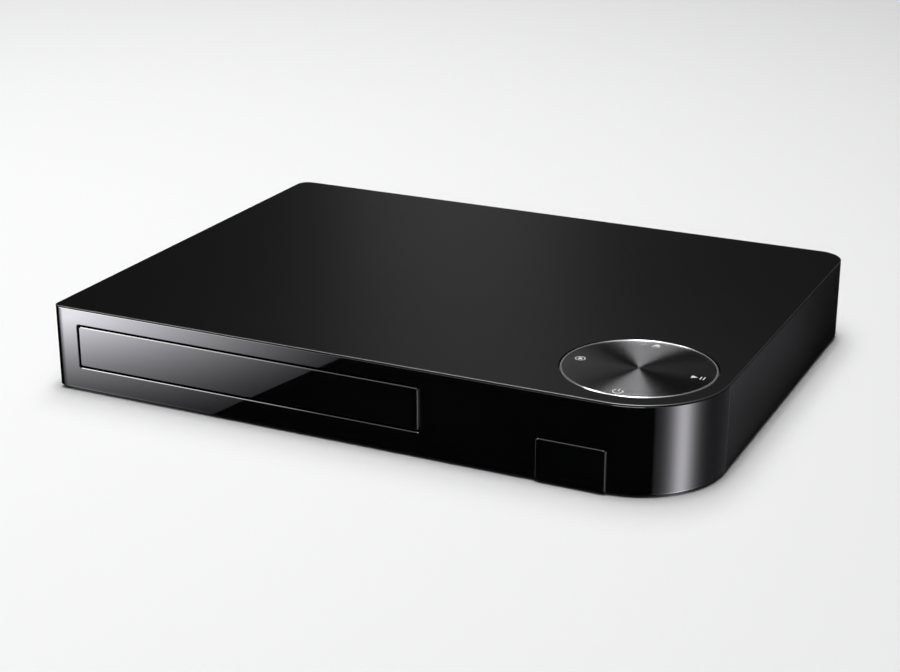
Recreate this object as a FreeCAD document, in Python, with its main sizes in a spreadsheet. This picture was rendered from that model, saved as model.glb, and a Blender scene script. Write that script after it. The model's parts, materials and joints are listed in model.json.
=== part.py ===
# Compact disc player with a drawer tray: case, loader mechanism, drive, boards and controls.
# Every length is in millimetres. The case is described about its own centre, with the table
# at height zero, the front towards -Y and the sockets towards +Y.
import FreeCAD, Part
import Sketcher
import math
import os
import re

os.makedirs("parts", exist_ok=True)
Vector = FreeCAD.Vector
doc = FreeCAD.newDocument("disc_player")

# Driving dimensions

DIMENSIONS = [
    # the case as a whole
    ("width", 265.0),
    ("depth", 197.0),
    ("height", 35.0),
    ("foot_height", 1.3),
    ("radius_front_left", 2.6),
    ("radius_rear_left", 5.5),
    ("radius_rear_right", 11.0),
    ("radius_front_right", 34.0),
    ("wall", 2.2),
    ("floor_wall", 2.0),
    ("cover_plate", 1.2),
    ("lip", 0.5),
    ("cover_gap", 0.15),
    ("edge_bevel", 0.2),
    ("skirt_inset", 2.6),
    ("skirt_wall", 1.3),
    ("skirt_low", 29.0),
    ("parting_right", 34.6),
    ("parting_left", 8.5),
    ("seam", 0.3),
    ("seam_bevel", 0.25),
    ("flap_proud", 0.8),
    ("jack_reach", 7.5),
    # the drawer
    ("tray_x", -46.6),
    ("tray_half", 67.0),
    ("tray_front", -95.5),
    ("tray_rear", 68.0),
    ("tray_low", 15.6),
    ("tray_web", 20.1),
    ("tray_top", 24.0),
    ("disc_y", -28.0),
    ("disc_recess", 60.6),
    ("small_recess", 40.6),
    ("recess_floor", 21.6),
    ("small_floor", 20.9),
    ("slot_half", 22.0),
    ("door_low_x", -121.85),
    ("door_high_x", 28.05),
    ("door_low_z", 10.2),
    ("door_high_z", 28.3),
    ("door_gap", 0.9),
    ("door_thick", 3.0),
    # the loader deck and its gears
    ("deck_low", 13.2),
    ("deck_high", 14.8),
    ("frame_inner", 68.2),
    ("frame_outer", 70.4),
    ("frame_front", -93.0),
    ("frame_rear", 72.0),
    ("frame_top", 27.6),
    ("rack_x", 56.0),
    ("gear_x", 48.0),
    ("gear_y", -72.0),
    ("gear_step", 18.4),
    ("motor_step", 27.6),
    ("stud", 1.5),
    ("layer_low", 15.1),
    ("layer_mid", 17.4),
    ("layer_high", 19.7),
    ("pulley", 8.0),
    ("small_pulley", 2.2),
    ("belt", 0.9),
    # the lifting traverse with spindle and pickup
    ("pivot_y", 55.0),
    ("pivot_z", 11.8),
    ("traverse_half", 38.0),
    ("traverse_front", -49.5),
    ("traverse_rear", 59.5),
    ("traverse_low", 10.5),
    ("traverse_high", 14.5),
    ("pin_x", 25.0),
    ("pin_z", 12.8),
    ("pin", 1.4),
    ("cam_front", -57.0),
    ("cam_rear", -54.6),
    ("cam_travel", 12.0),
    ("cam_drop", 5.42),
    ("rod", 1.5),
    ("rod_z", 12.6),
    ("rod_left", 28.0),
    ("rod_right", 22.5),
    ("screw_x", 30.0),
    ("lead_screw", 1.3),
    ("turntable", 15.5),
    ("clamp_hole", 13.5),
    # the control disc and its gimbal
    ("disc_x", 98.1),
    ("control_y", -62.7),
    ("control_disc", 28.5),
    ("disc_bevel", 0.45),
    ("disc_dish", 0.3),
    ("opening", 29.0),
    ("gimbal_z", 30.2),
    ("key_reach", 17.0),
    # the front port
    ("flap_low_x", 73.4),
    ("flap_high_x", 100.2),
    ("flap_high_z", 17.4),
    ("flap_gap", 0.25),
    ("flap_pivot_y", 1.9),
    ("flap_pivot_z", 4.2),
    # boards and rear sockets
    ("board_z", 8.0),
    ("board", 1.6),
    ("video_x", 62.0),
    ("network_x", 92.0),
    ("jack_x", 42.0),
    ("inlet_x", -100.0),
    ("inlet_z", 16.0),
    ("rear_inset", 0.6),
    ("rear_plate", 1.6),
]

dims = doc.addObject("Spreadsheet::Sheet", "Dims")
SIZE = {}
for row, (alias, number) in enumerate(DIMENSIONS, start=1):
    dims.set("A%d" % row, alias)
    dims.set("B%d" % row, str(number))
    dims.setAlias("B%d" % row, alias)
    SIZE[alias] = number
doc.recompute()

probe = doc.addObject("App::VarSet", "Probe")
probe.addProperty("App::PropertyFloat", "value")
parts = {}


# Every alias in a formula is read from the sheet

def formula(text):
    def named(match):
        word = match.group(0)
        return "Dims." + word if word in SIZE else word
    return re.sub(r"[a-z_]+", named, str(text))


# The number that a formula gives now, used as a sketch's starting guess

def measure(text):
    probe.setExpression("value", formula(text))
    probe.recompute()
    return probe.value


def bind(obj, prop, text):
    obj.setExpression(prop, formula(text))


def base(obj, x=None, y=None, z=None):
    for axis, text in (("x", x), ("y", y), ("z", z)):
        if text is not None:
            bind(obj, "Placement.Base." + axis, text)


# Part primitives with bound sizes

def block(x_low, x_high, y_low, y_high, z_low, z_high):
    box = doc.addObject("Part::Box", "Block")
    bind(box, "Length", "(%s) - (%s)" % (x_high, x_low))
    bind(box, "Width", "(%s) - (%s)" % (y_high, y_low))
    bind(box, "Height", "(%s) - (%s)" % (z_high, z_low))
    base(box, x_low, y_low, z_low)
    return box


TURN = {
    "x": FreeCAD.Rotation(Vector(0, 1, 0), 90),
    "y": FreeCAD.Rotation(Vector(1, 0, 0), -90),
    "z": FreeCAD.Rotation(),
}


def cylinder(axis, x, y, z, radius, length):
    rod = doc.addObject("Part::Cylinder", "Cylinder")
    rod.Placement = FreeCAD.Placement(Vector(), TURN[axis])
    bind(rod, "Radius", radius)
    bind(rod, "Height", length)
    base(rod, x, y, z)
    return rod


def cone(axis, x, y, z, radius_one, radius_two, length):
    body = doc.addObject("Part::Cone", "Cone")
    body.Placement = FreeCAD.Placement(Vector(), TURN[axis])
    bind(body, "Radius1", radius_one)
    bind(body, "Radius2", radius_two)
    bind(body, "Height", length)
    base(body, x, y, z)
    return body


def fuse(*shapes):
    joined = doc.addObject("Part::MultiFuse", "Fusion")
    joined.Shapes = list(shapes)
    joined.Refine = True
    return joined


def cut(solid, *tools):
    removed = tools[0] if len(tools) == 1 else fuse(*tools)
    result = doc.addObject("Part::Cut", "Cut")
    result.Base = solid
    result.Tool = removed
    result.Refine = True
    return result


def group(*shapes):
    loose = doc.addObject("Part::Compound", "Group")
    loose.Links = list(shapes)
    return loose


# A finished piece: its label is its name, and its placement sets the case's box about the origin

def finish(label, obj, x="0", y="0", z="0"):
    obj.Label = label
    base(obj, x, "(%s) + (flap_proud - jack_reach) / 2" % y, z)
    parts[label] = obj
    return obj


# PartDesign bodies and their sketches

def new_body(label, x="0", y="0", z="0"):
    body = doc.addObject("PartDesign::Body", "Body")
    return finish(label, body, x, y, z)


def sketch_on(body, plane, offset="0"):
    sketch = body.newObject("Sketcher::SketchObject", "Sketch")
    support = [feature for feature in body.Origin.OriginFeatures if feature.Role == plane][0]
    sketch.AttachmentSupport = [(support, "")]
    sketch.MapMode = "FlatFace"
    bind(sketch, "AttachmentOffset.Base.z", offset)
    return sketch


def pin_down(sketch, kind, geometry, point, name, text):
    index = sketch.addConstraint(Sketcher.Constraint(kind, -1, 1, geometry, point, measure(text)))
    sketch.renameConstraint(index, name)
    sketch.setExpression("Constraints." + name, formula(text))


def set_radius(sketch, geometry, name, text):
    index = sketch.addConstraint(Sketcher.Constraint("Radius", geometry, measure(text)))
    sketch.renameConstraint(index, name)
    sketch.setExpression("Constraints." + name, formula(text))


def draw_circle(sketch, x, y, radius):
    centre = Vector(measure(x), measure(y), 0)
    index = sketch.addGeometry(Part.Circle(centre, Vector(0, 0, 1), measure(radius)))
    pin_down(sketch, "DistanceX", index, 3, "x%d" % index, x)
    pin_down(sketch, "DistanceY", index, 3, "y%d" % index, y)
    set_radius(sketch, index, "radius%d" % index, radius)
    return index


# A closed run of straight edges through points given by formulas

def draw_polygon(sketch, points):
    spots = [Vector(measure(x), measure(y), 0) for x, y in points]
    count = len(spots)
    first = None
    for i in range(count):
        line = sketch.addGeometry(Part.LineSegment(spots[i], spots[(i + 1) % count]))
        first = line if first is None else first
    for i in range(count):
        after = first + (i + 1) % count
        sketch.addConstraint(Sketcher.Constraint("Coincident", first + i, 2, after, 1))
    for i, (x, y) in enumerate(points):
        pin_down(sketch, "DistanceX", first + i, 1, "x%d" % (first + i), x)
        pin_down(sketch, "DistanceY", first + i, 1, "y%d" % (first + i), y)


def rectangle(x_low, x_high, y_low, y_high):
    return [(x_low, y_low), (x_high, y_low), (x_high, y_high), (x_low, y_high)]


# A rectangle with its own radius at each corner, starting low-low and going round by high-low

def draw_rounded(sketch, x_low, x_high, y_low, y_high, radii):
    left, right = measure(x_low), measure(x_high)
    front, rear = measure(y_low), measure(y_high)
    r = [measure(text) for text in radii]
    corners = [(left, front, 1, 1), (right, front, -1, 1), (right, rear, -1, -1), (left, rear, 1, -1)]
    starts = [180, 270, 0, 90]
    arcs = []
    for (x, y, toward_x, toward_y), radius, start in zip(corners, r, starts):
        centre = Vector(x + toward_x * radius, y + toward_y * radius, 0)
        circle = Part.Circle(centre, Vector(0, 0, 1), radius)
        turn = math.radians(start)
        arcs.append(sketch.addGeometry(Part.ArcOfCircle(circle, turn, turn + math.pi / 2)))
    lines = []
    for i in range(4):
        begin = sketch.getPoint(arcs[i], 2)
        end = sketch.getPoint(arcs[(i + 1) % 4], 1)
        lines.append(sketch.addGeometry(Part.LineSegment(begin, end)))
    for i in range(4):
        sketch.addConstraint(Sketcher.Constraint("Tangent", arcs[i], 2, lines[i], 1))
        sketch.addConstraint(Sketcher.Constraint("Tangent", lines[i], 2, arcs[(i + 1) % 4], 1))
        sketch.addConstraint(Sketcher.Constraint("Horizontal" if i % 2 == 0 else "Vertical", lines[i]))
    pin_down(sketch, "DistanceY", lines[0], 1, "front%d" % lines[0], y_low)
    pin_down(sketch, "DistanceX", lines[1], 1, "right%d" % lines[1], x_high)
    pin_down(sketch, "DistanceY", lines[2], 1, "rear%d" % lines[2], y_high)
    pin_down(sketch, "DistanceX", lines[3], 1, "left%d" % lines[3], x_low)
    for i in range(4):
        set_radius(sketch, arcs[i], "corner%d" % arcs[i], radii[i])


def add_pad(body, sketch, length, midplane=False, reverse=False):
    pad = body.newObject("PartDesign::Pad", "Pad")
    pad.Profile = sketch
    pad.Midplane = midplane
    pad.Reversed = reverse
    bind(pad, "Length", length)
    return pad


# A pocket has to take material away, so the volume before and after is compared

def add_pocket(body, sketch, length=None, reverse=False):
    doc.recompute()
    before = body.Shape.Volume
    pocket = body.newObject("PartDesign::Pocket", "Pocket")
    pocket.Profile = sketch
    pocket.Reversed = reverse
    if length is None:
        pocket.Type = 1
        pocket.Midplane = True
    else:
        bind(pocket, "Length", length)
    doc.recompute()
    if not pocket.Shape.Volume < before - 1e-6:
        raise RuntimeError("a pocket in %s takes nothing away" % body.Label)
    return pocket


def add_fillet(body, feature, edges, radius):
    doc.recompute()
    fillet = body.newObject("PartDesign::Fillet", "Fillet")
    fillet.Base = (feature, edges)
    bind(fillet, "Radius", radius)
    return fillet


def add_chamfer(body, feature, edges, size):
    doc.recompute()
    chamfer = body.newObject("PartDesign::Chamfer", "Chamfer")
    chamfer.Base = (feature, edges)
    bind(chamfer, "Size", size)
    return chamfer


# Names of a shape's edges that pass a test on their lowest and highest corners

def edges_where(shape, test):
    chosen = []
    for index, edge in enumerate(shape.Edges, start=1):
        if test(edge.BoundBox, edge):
            chosen.append("Edge%d" % index)
    return chosen


def near(a, b):
    return abs(a - b) < 1e-3


# Outline of the case in plan, drawn in by an inset

def draw_outline(sketch, inset):
    radii = []
    for corner in ("radius_front_left", "radius_front_right", "radius_rear_right", "radius_rear_left"):
        radii.append("max(%s - (%s); 0.5)" % (corner, inset))
    draw_rounded(sketch, "-width / 2 + (%s)" % inset, "width / 2 - (%s)" % inset,
                 "-depth / 2 + (%s)" % inset, "depth / 2 - (%s)" % inset, radii)


# Band along the front that turns both front corners, between two insets

def draw_front_band(sketch, outer, inner, setback):
    left_outer = measure("-width / 2 + (%s)" % outer)
    left_inner = measure("-width / 2 + (%s)" % inner)
    right_outer = measure("width / 2 - (%s)" % outer)
    right_inner = measure("width / 2 - (%s)" % inner)
    front_outer = measure("-depth / 2 + (%s)" % outer)
    front_inner = measure("-depth / 2 + (%s)" % inner)
    end_left = measure("-depth / 2 + parting_left + (%s)" % setback)
    end_right = measure("-depth / 2 + parting_right + (%s)" % setback)
    small_outer = measure("max(radius_front_left - (%s); 0.5)" % outer)
    small_inner = measure("max(radius_front_left - (%s); 0.5)" % inner)
    large_outer = measure("radius_front_right - (%s)" % outer)
    large_inner = measure("radius_front_right - (%s)" % inner)

    def corner(x, y, radius, start, side):
        circle = Part.Circle(Vector(x - side * radius, y + radius, 0), Vector(0, 0, 1), radius)
        turn = math.radians(start)
        return sketch.addGeometry(Part.ArcOfCircle(circle, turn, turn + math.pi / 2))

    def line(x_one, y_one, x_two, y_two):
        return sketch.addGeometry(Part.LineSegment(Vector(x_one, y_one, 0), Vector(x_two, y_two, 0)))

    outer_left = line(left_outer, end_left, left_outer, front_outer + small_outer)
    arc_one = corner(left_outer, front_outer, small_outer, 180, -1)
    outer_front = line(left_outer + small_outer, front_outer, right_outer - large_outer, front_outer)
    arc_two = corner(right_outer, front_outer, large_outer, 270, 1)
    outer_right = line(right_outer, front_outer + large_outer, right_outer, end_right)
    cap_right = line(right_outer, end_right, right_inner, end_right)
    inner_right = line(right_inner, end_right, right_inner, front_inner + large_inner)
    arc_three = corner(right_inner, front_inner, large_inner, 270, 1)
    inner_front = line(right_inner - large_inner, front_inner, left_inner + small_inner, front_inner)
    arc_four = corner(left_inner, front_inner, small_inner, 180, -1)
    inner_left = line(left_inner, front_inner + small_inner, left_inner, end_left)
    cap_left = line(left_inner, end_left, left_outer, end_left)
    tangents = [(outer_left, 2, arc_one, 1), (arc_one, 2, outer_front, 1), (outer_front, 2, arc_two, 1),
                (arc_two, 2, outer_right, 1), (inner_right, 2, arc_three, 2), (arc_three, 1, inner_front, 1),
                (inner_front, 2, arc_four, 2), (arc_four, 1, inner_left, 1)]
    for one, end_one, two, end_two in tangents:
        sketch.addConstraint(Sketcher.Constraint("Tangent", one, end_one, two, end_two))
    joints = [(outer_right, 2, cap_right, 1), (cap_right, 2, inner_right, 1),
              (inner_left, 2, cap_left, 1), (cap_left, 2, outer_left, 1)]
    for one, end_one, two, end_two in joints:
        sketch.addConstraint(Sketcher.Constraint("Coincident", one, end_one, two, end_two))
    for level in (outer_front, inner_front, cap_right, cap_left):
        sketch.addConstraint(Sketcher.Constraint("Horizontal", level))
    for upright in (outer_left, outer_right, inner_right, inner_left):
        sketch.addConstraint(Sketcher.Constraint("Vertical", upright))
    pin_down(sketch, "DistanceX", outer_left, 1, "left_outer", "-width / 2 + (%s)" % outer)
    pin_down(sketch, "DistanceX", outer_right, 1, "right_outer", "width / 2 - (%s)" % outer)
    pin_down(sketch, "DistanceX", inner_left, 1, "left_inner", "-width / 2 + (%s)" % inner)
    pin_down(sketch, "DistanceX", inner_right, 1, "right_inner", "width / 2 - (%s)" % inner)
    pin_down(sketch, "DistanceY", outer_front, 1, "front_outer", "-depth / 2 + (%s)" % outer)
    pin_down(sketch, "DistanceY", inner_front, 1, "front_inner", "-depth / 2 + (%s)" % inner)
    pin_down(sketch, "DistanceY", cap_left, 1, "end_left", "-depth / 2 + parting_left + (%s)" % setback)
    pin_down(sketch, "DistanceY", cap_right, 1, "end_right", "-depth / 2 + parting_right + (%s)" % setback)
    set_radius(sketch, arc_one, "small_outer", "max(radius_front_left - (%s); 0.5)" % outer)
    set_radius(sketch, arc_four, "small_inner", "max(radius_front_left - (%s); 0.5)" % inner)
    set_radius(sketch, arc_two, "large_outer", "radius_front_right - (%s)" % outer)
    set_radius(sketch, arc_three, "large_inner", "radius_front_right - (%s)" % inner)


# Gearing of the drawer: a rack of module 1 under the drawer's right edge
PRESSURE_ANGLE = 20
BACKLASH = 0.14
RACK_TEETH = 44

# Heights that follow from the sheet
WALL_TOP = "height - lip - cover_gap"
COVER_UNDER = "height - cover_plate"
FLOOR_TOP = "foot_height + floor_wall"
FRONT = "-depth / 2"

# Where the screws from below meet the cover's posts
COVER_POSTS = [("-123.5", "-58"), ("-123.5", "58"), ("30", "-52"), ("30", "60"), ("127", "64"), ("127", "-28")]


# Ledges of the case's floor that the rear plate stands against, and tongues that reach the front panel
REAR_LEDGES = ["-120 + 2", "-72", "0", "26", "78", "106"]
FRONT_TONGUES = ["-110", "-60", "0", "48"]


# Case

def make_top_cover():
    body = new_body("top_cover")
    plate = sketch_on(body, "XY_Plane", "height - lip")
    draw_outline(plate, "0")
    lid = add_pad(body, plate, "lip")
    doc.recompute()
    top = SIZE["height"]
    rim_edges = edges_where(lid.Shape, lambda box, edge: near(box.ZMin, top) and near(box.ZMax, top))
    add_fillet(body, lid, rim_edges, "0.35")
    inner = sketch_on(body, "XY_Plane", COVER_UNDER)
    draw_outline(inner, "skirt_inset")
    add_pad(body, inner, "cover_plate - lip + 0.1")
    skirt = sketch_on(body, "XY_Plane", "skirt_low")
    draw_outline(skirt, "skirt_inset")
    draw_outline(skirt, "skirt_inset + skirt_wall")
    add_pad(body, skirt, "%s - skirt_low + 0.2" % COVER_UNDER)
    opening = sketch_on(body, "XY_Plane", "height + 1")
    draw_circle(opening, "disc_x", "control_y", "opening")
    add_pocket(body, opening, "5")
    ribs = sketch_on(body, "XY_Plane", "%s - 1.6" % COVER_UNDER)
    for x in (-118, -72, -22, 32):
        draw_polygon(ribs, rectangle("%d - 0.6" % x, "%d + 0.6" % x, "-depth / 2 + 16", "depth / 2 - 12"))
    add_pad(body, ribs, "1.8")
    posts = sketch_on(body, "XY_Plane", FLOOR_TOP)
    for x, y in COVER_POSTS:
        draw_circle(posts, x, y, "2.8")
    add_pad(body, posts, "%s - (%s) + 0.2" % (COVER_UNDER, FLOOR_TOP))
    pilots = sketch_on(body, "XY_Plane", "%s + 8" % FLOOR_TOP)
    for x, y in COVER_POSTS:
        draw_circle(pilots, x, y, "1.1")
    add_pocket(body, pilots, "9")
    return body


def make_front_panel():
    body = new_body("front_panel")
    band = sketch_on(body, "XY_Plane", "foot_height")
    draw_front_band(band, "0", "wall", "0")
    panel = add_pad(body, band, "%s - foot_height" % WALL_TOP)
    doc.recompute()

    def outer_at(level):
        def test(box, edge):
            flat = near(box.ZMin, level) and near(box.ZMax, level)
            half = measure("width / 2")
            inset = min(box.YMin - measure(FRONT), half - box.XMax, box.XMin + half)
            return flat and edge.Length > measure("wall") + 0.5 and inset < 0.01
        return test

    rounded = add_fillet(body, panel, edges_where(panel.Shape, outer_at(SIZE["foot_height"])), "0.5")
    doc.recompute()
    add_chamfer(body, rounded, edges_where(rounded.Shape, outer_at(measure(WALL_TOP))), "edge_bevel")
    door_hole = sketch_on(body, "XZ_Plane", "depth / 2 + 2")
    draw_rounded(door_hole, "door_low_x", "door_high_x", "door_low_z", "door_high_z", ["1.1"] * 4)
    doorway = add_pocket(body, door_hole, "wall + 3")
    front = measure(FRONT)
    low, high = SIZE["door_low_z"] - 0.01, SIZE["door_high_z"] + 0.01

    def doorway_edge(box, edge):
        return near(box.YMin, front) and near(box.YMax, front) and box.ZMin > low and box.ZMax < high

    add_chamfer(body, doorway, edges_where(doorway.Shape, doorway_edge), "edge_bevel")
    port_hole = sketch_on(body, "XZ_Plane", "depth / 2 + 2")
    draw_rounded(port_hole, "flap_low_x", "flap_high_x", "foot_height - 6", "flap_high_z", ["1.2"] * 4)
    add_pocket(body, port_hole, "wall + 3")
    lugs = sketch_on(body, "XZ_Plane", "depth / 2 - wall + 0.1")
    draw_polygon(lugs, rectangle("flap_low_x - 2.6", "flap_low_x - 0.1", "foot_height", "foot_height + 4.6"))
    draw_polygon(lugs, rectangle("flap_high_x + 0.1", "flap_high_x + 2.6", "foot_height", "foot_height + 4.6"))
    add_pad(body, lugs, "1.5", reverse=True)
    pin_hole = sketch_on(body, "YZ_Plane", "(flap_low_x + flap_high_x) / 2")
    draw_circle(pin_hole, "-depth / 2 + flap_pivot_y", "flap_pivot_z", "0.6")
    bore = add_pocket(body, pin_hole)
    bore.Midplane = True
    bore.Type = 0
    bind(bore, "Length", "flap_high_x - flap_low_x + 4")
    return body


def make_bottom_case():
    body = new_body("bottom_case")
    outline = sketch_on(body, "XY_Plane", "foot_height")
    draw_outline(outline, "0")
    solid = add_pad(body, outline, "%s - foot_height" % WALL_TOP)
    doc.recompute()
    low = SIZE["foot_height"]
    bottom = edges_where(solid.Shape, lambda box, edge: near(box.ZMin, low) and near(box.ZMax, low))
    rounded = add_fillet(body, solid, bottom, "0.5")
    doc.recompute()
    top = measure(WALL_TOP)
    upper = edges_where(rounded.Shape, lambda box, edge: near(box.ZMin, top) and near(box.ZMax, top))
    add_chamfer(body, rounded, upper, "edge_bevel")
    hollow = sketch_on(body, "XY_Plane", WALL_TOP)
    draw_outline(hollow, "wall")
    add_pocket(body, hollow, "%s - (%s)" % (WALL_TOP, FLOOR_TOP))
    front = sketch_on(body, "XY_Plane", WALL_TOP)
    draw_front_band(front, "-1", "wall + 0.1", "seam")
    add_pocket(body, front, "%s - foot_height + 1" % WALL_TOP)
    bevels = sketch_on(body, "XY_Plane", WALL_TOP)
    for side, parting in (("", "parting_right"), ("-", "parting_left")):
        end = "-depth / 2 + %s + seam" % parting
        near_x = side + "(width / 2 - seam_bevel)"
        far_x = side + "(width / 2 + 1)"
        draw_polygon(bevels, [(near_x, end), (far_x, end + " + seam_bevel + 1"), (far_x, end + " - 0.1"),
                              (near_x, end + " - 0.1")])
    add_pocket(body, bevels, "%s - foot_height + 1" % WALL_TOP)
    rear = sketch_on(body, "XZ_Plane", "-depth / 2 - 1")
    draw_polygon(rear, rectangle("-width / 2 + 14", "width / 2 - 20", "foot_height + 4", "height + 1"))
    add_pocket(body, rear, "wall + 2", reverse=True)
    notch = sketch_on(body, "XY_Plane", "foot_height + 3")
    draw_polygon(notch, rectangle("flap_low_x - 3", "flap_high_x + 3", "-depth / 2", "-depth / 2 + 5.4"))
    add_pocket(body, notch, "5")
    ledges = sketch_on(body, "XY_Plane", FLOOR_TOP)
    for x in REAR_LEDGES:
        draw_polygon(ledges, rectangle(x + " - 4", x + " + 4", "depth / 2 - wall - 3",
                                       "depth / 2 - rear_inset - rear_plate"))
    add_pad(body, ledges, "board_z - (%s) - 0.3" % FLOOR_TOP)
    tongues = sketch_on(body, "XY_Plane", "foot_height + 0.4")
    for x in FRONT_TONGUES:
        draw_polygon(tongues, rectangle(x + " - 4", x + " + 4", "-depth / 2 + wall", "-depth / 2 + wall + 2"))
    add_pad(body, tongues, "floor_wall - 0.4")
    vents = sketch_on(body, "XY_Plane", FLOOR_TOP)
    for i in range(9):
        x = "46 + %d" % (8 * i)
        draw_polygon(vents, rectangle(x, x + " + 3", "-8", "24"))
    for i in range(7):
        x = "-118 + %d" % (8 * i)
        draw_polygon(vents, rectangle(x, x + " + 3", "78", "90"))
    add_pocket(body, vents, "floor_wall + 1")
    posts = sketch_on(body, "XY_Plane", "foot_height + 1")
    spots = [("40", "-34"), ("120", "-34"), ("40", "70"), ("119", "70"), ("-124", "84"), ("24", "84"),
             ("48", "-78"), ("102", "-78")]
    for x, y in spots:
        draw_circle(posts, x, y, "2.8")
    add_pad(body, posts, "board_z - foot_height - 1")
    trim = sketch_on(body, "XY_Plane", "board_z + 1")
    for x, y in spots[6:]:
        draw_circle(trim, x, y, "3")
    add_pocket(body, trim, "board_z + 1 - 6.4")
    screws = sketch_on(body, "XY_Plane", "foot_height + 3")
    for x, y in COVER_POSTS:
        draw_circle(screws, x, y, "1.3")
    add_pocket(body, screws, "4")
    heads = sketch_on(body, "XY_Plane", "foot_height + 1.1")
    for x, y in COVER_POSTS:
        draw_circle(heads, x, y, "2.9")
    add_pocket(body, heads, "2")
    return body


def make_rear_panel():
    body = new_body("rear_panel")
    face = sketch_on(body, "XZ_Plane", "-depth / 2 + rear_inset")
    draw_rounded(face, "-width / 2 + 14.15", "width / 2 - 20.15", "foot_height + 4.15", WALL_TOP, ["0.8"] * 4)
    plate = add_pad(body, face, "rear_plate")
    doc.recompute()
    inner = plate.Shape.BoundBox.YMin
    if not near(inner, measure("depth / 2 - rear_inset - rear_plate")):
        plate.Reversed = True
    doc.recompute()
    holes = sketch_on(body, "XZ_Plane", "-depth / 2 - 1")
    draw_rounded(holes, "video_x - 7.9", "video_x + 7.9", "board_z + board - 0.2", "board_z + board + 6.2",
                 ["0.8"] * 4)
    draw_rounded(holes, "network_x - 8.3", "network_x + 8.3", "board_z + board - 0.2",
                 "board_z + board + 13.9", ["0.5"] * 4)
    draw_circle(holes, "jack_x", "board_z + board + 6.5", "4.4")
    draw_rounded(holes, "inlet_x - 10.3", "inlet_x + 10.3", "inlet_z - 5.6", "inlet_z + 5.6", ["0.3"] * 4)
    add_pocket(body, holes, "4", reverse=True)
    slots = sketch_on(body, "XZ_Plane", "-depth / 2 - 1")
    for i in range(12):
        x = "-66 + %d" % (7 * i)
        draw_polygon(slots, rectangle(x, x + " + 3.4", "14", "27"))
    add_pocket(body, slots, "4", reverse=True)
    return body


def make_feet():
    spots = {
        "foot_front_left": ("-width / 2 + 24", "-depth / 2 + 22"),
        "foot_front_right": ("width / 2 - 36", "-depth / 2 + 30"),
        "foot_rear_left": ("-width / 2 + 24", "depth / 2 - 20"),
        "foot_rear_right": ("width / 2 - 28", "depth / 2 - 20"),
    }
    for label, (x, y) in spots.items():
        body = new_body(label, x, y)
        disc = sketch_on(body, "XY_Plane")
        draw_circle(disc, "0", "0", "8")
        pad = add_pad(body, disc, "foot_height")
        doc.recompute()
        sole = edges_where(pad.Shape, lambda box, edge: near(box.ZMin, 0) and near(box.ZMax, 0))
        add_chamfer(body, pad, sole, "0.4")


def screw_down(x, y, z_head, length):
    head = cylinder("z", x, y, "%s - 1" % z_head, "2.2", "1")
    shank = cylinder("z", x, y, "%s - %s" % (z_head, length), "0.7", "%s - 0.5" % length)
    return fuse(head, shank)


# Drawer

def make_tray_door():
    body = new_body("tray_door")
    face = sketch_on(body, "XZ_Plane", "depth / 2")
    draw_rounded(face, "door_low_x + door_gap", "door_high_x - door_gap",
                 "door_low_z + door_gap", "door_high_z - door_gap", ["0.8"] * 4)
    slab = add_pad(body, face, "door_thick", reverse=True)
    doc.recompute()
    front = measure(FRONT)
    edges = edges_where(slab.Shape, lambda box, edge: near(box.YMin, front) and near(box.YMax, front))
    add_chamfer(body, slab, edges, "0.25")
    return body


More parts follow.
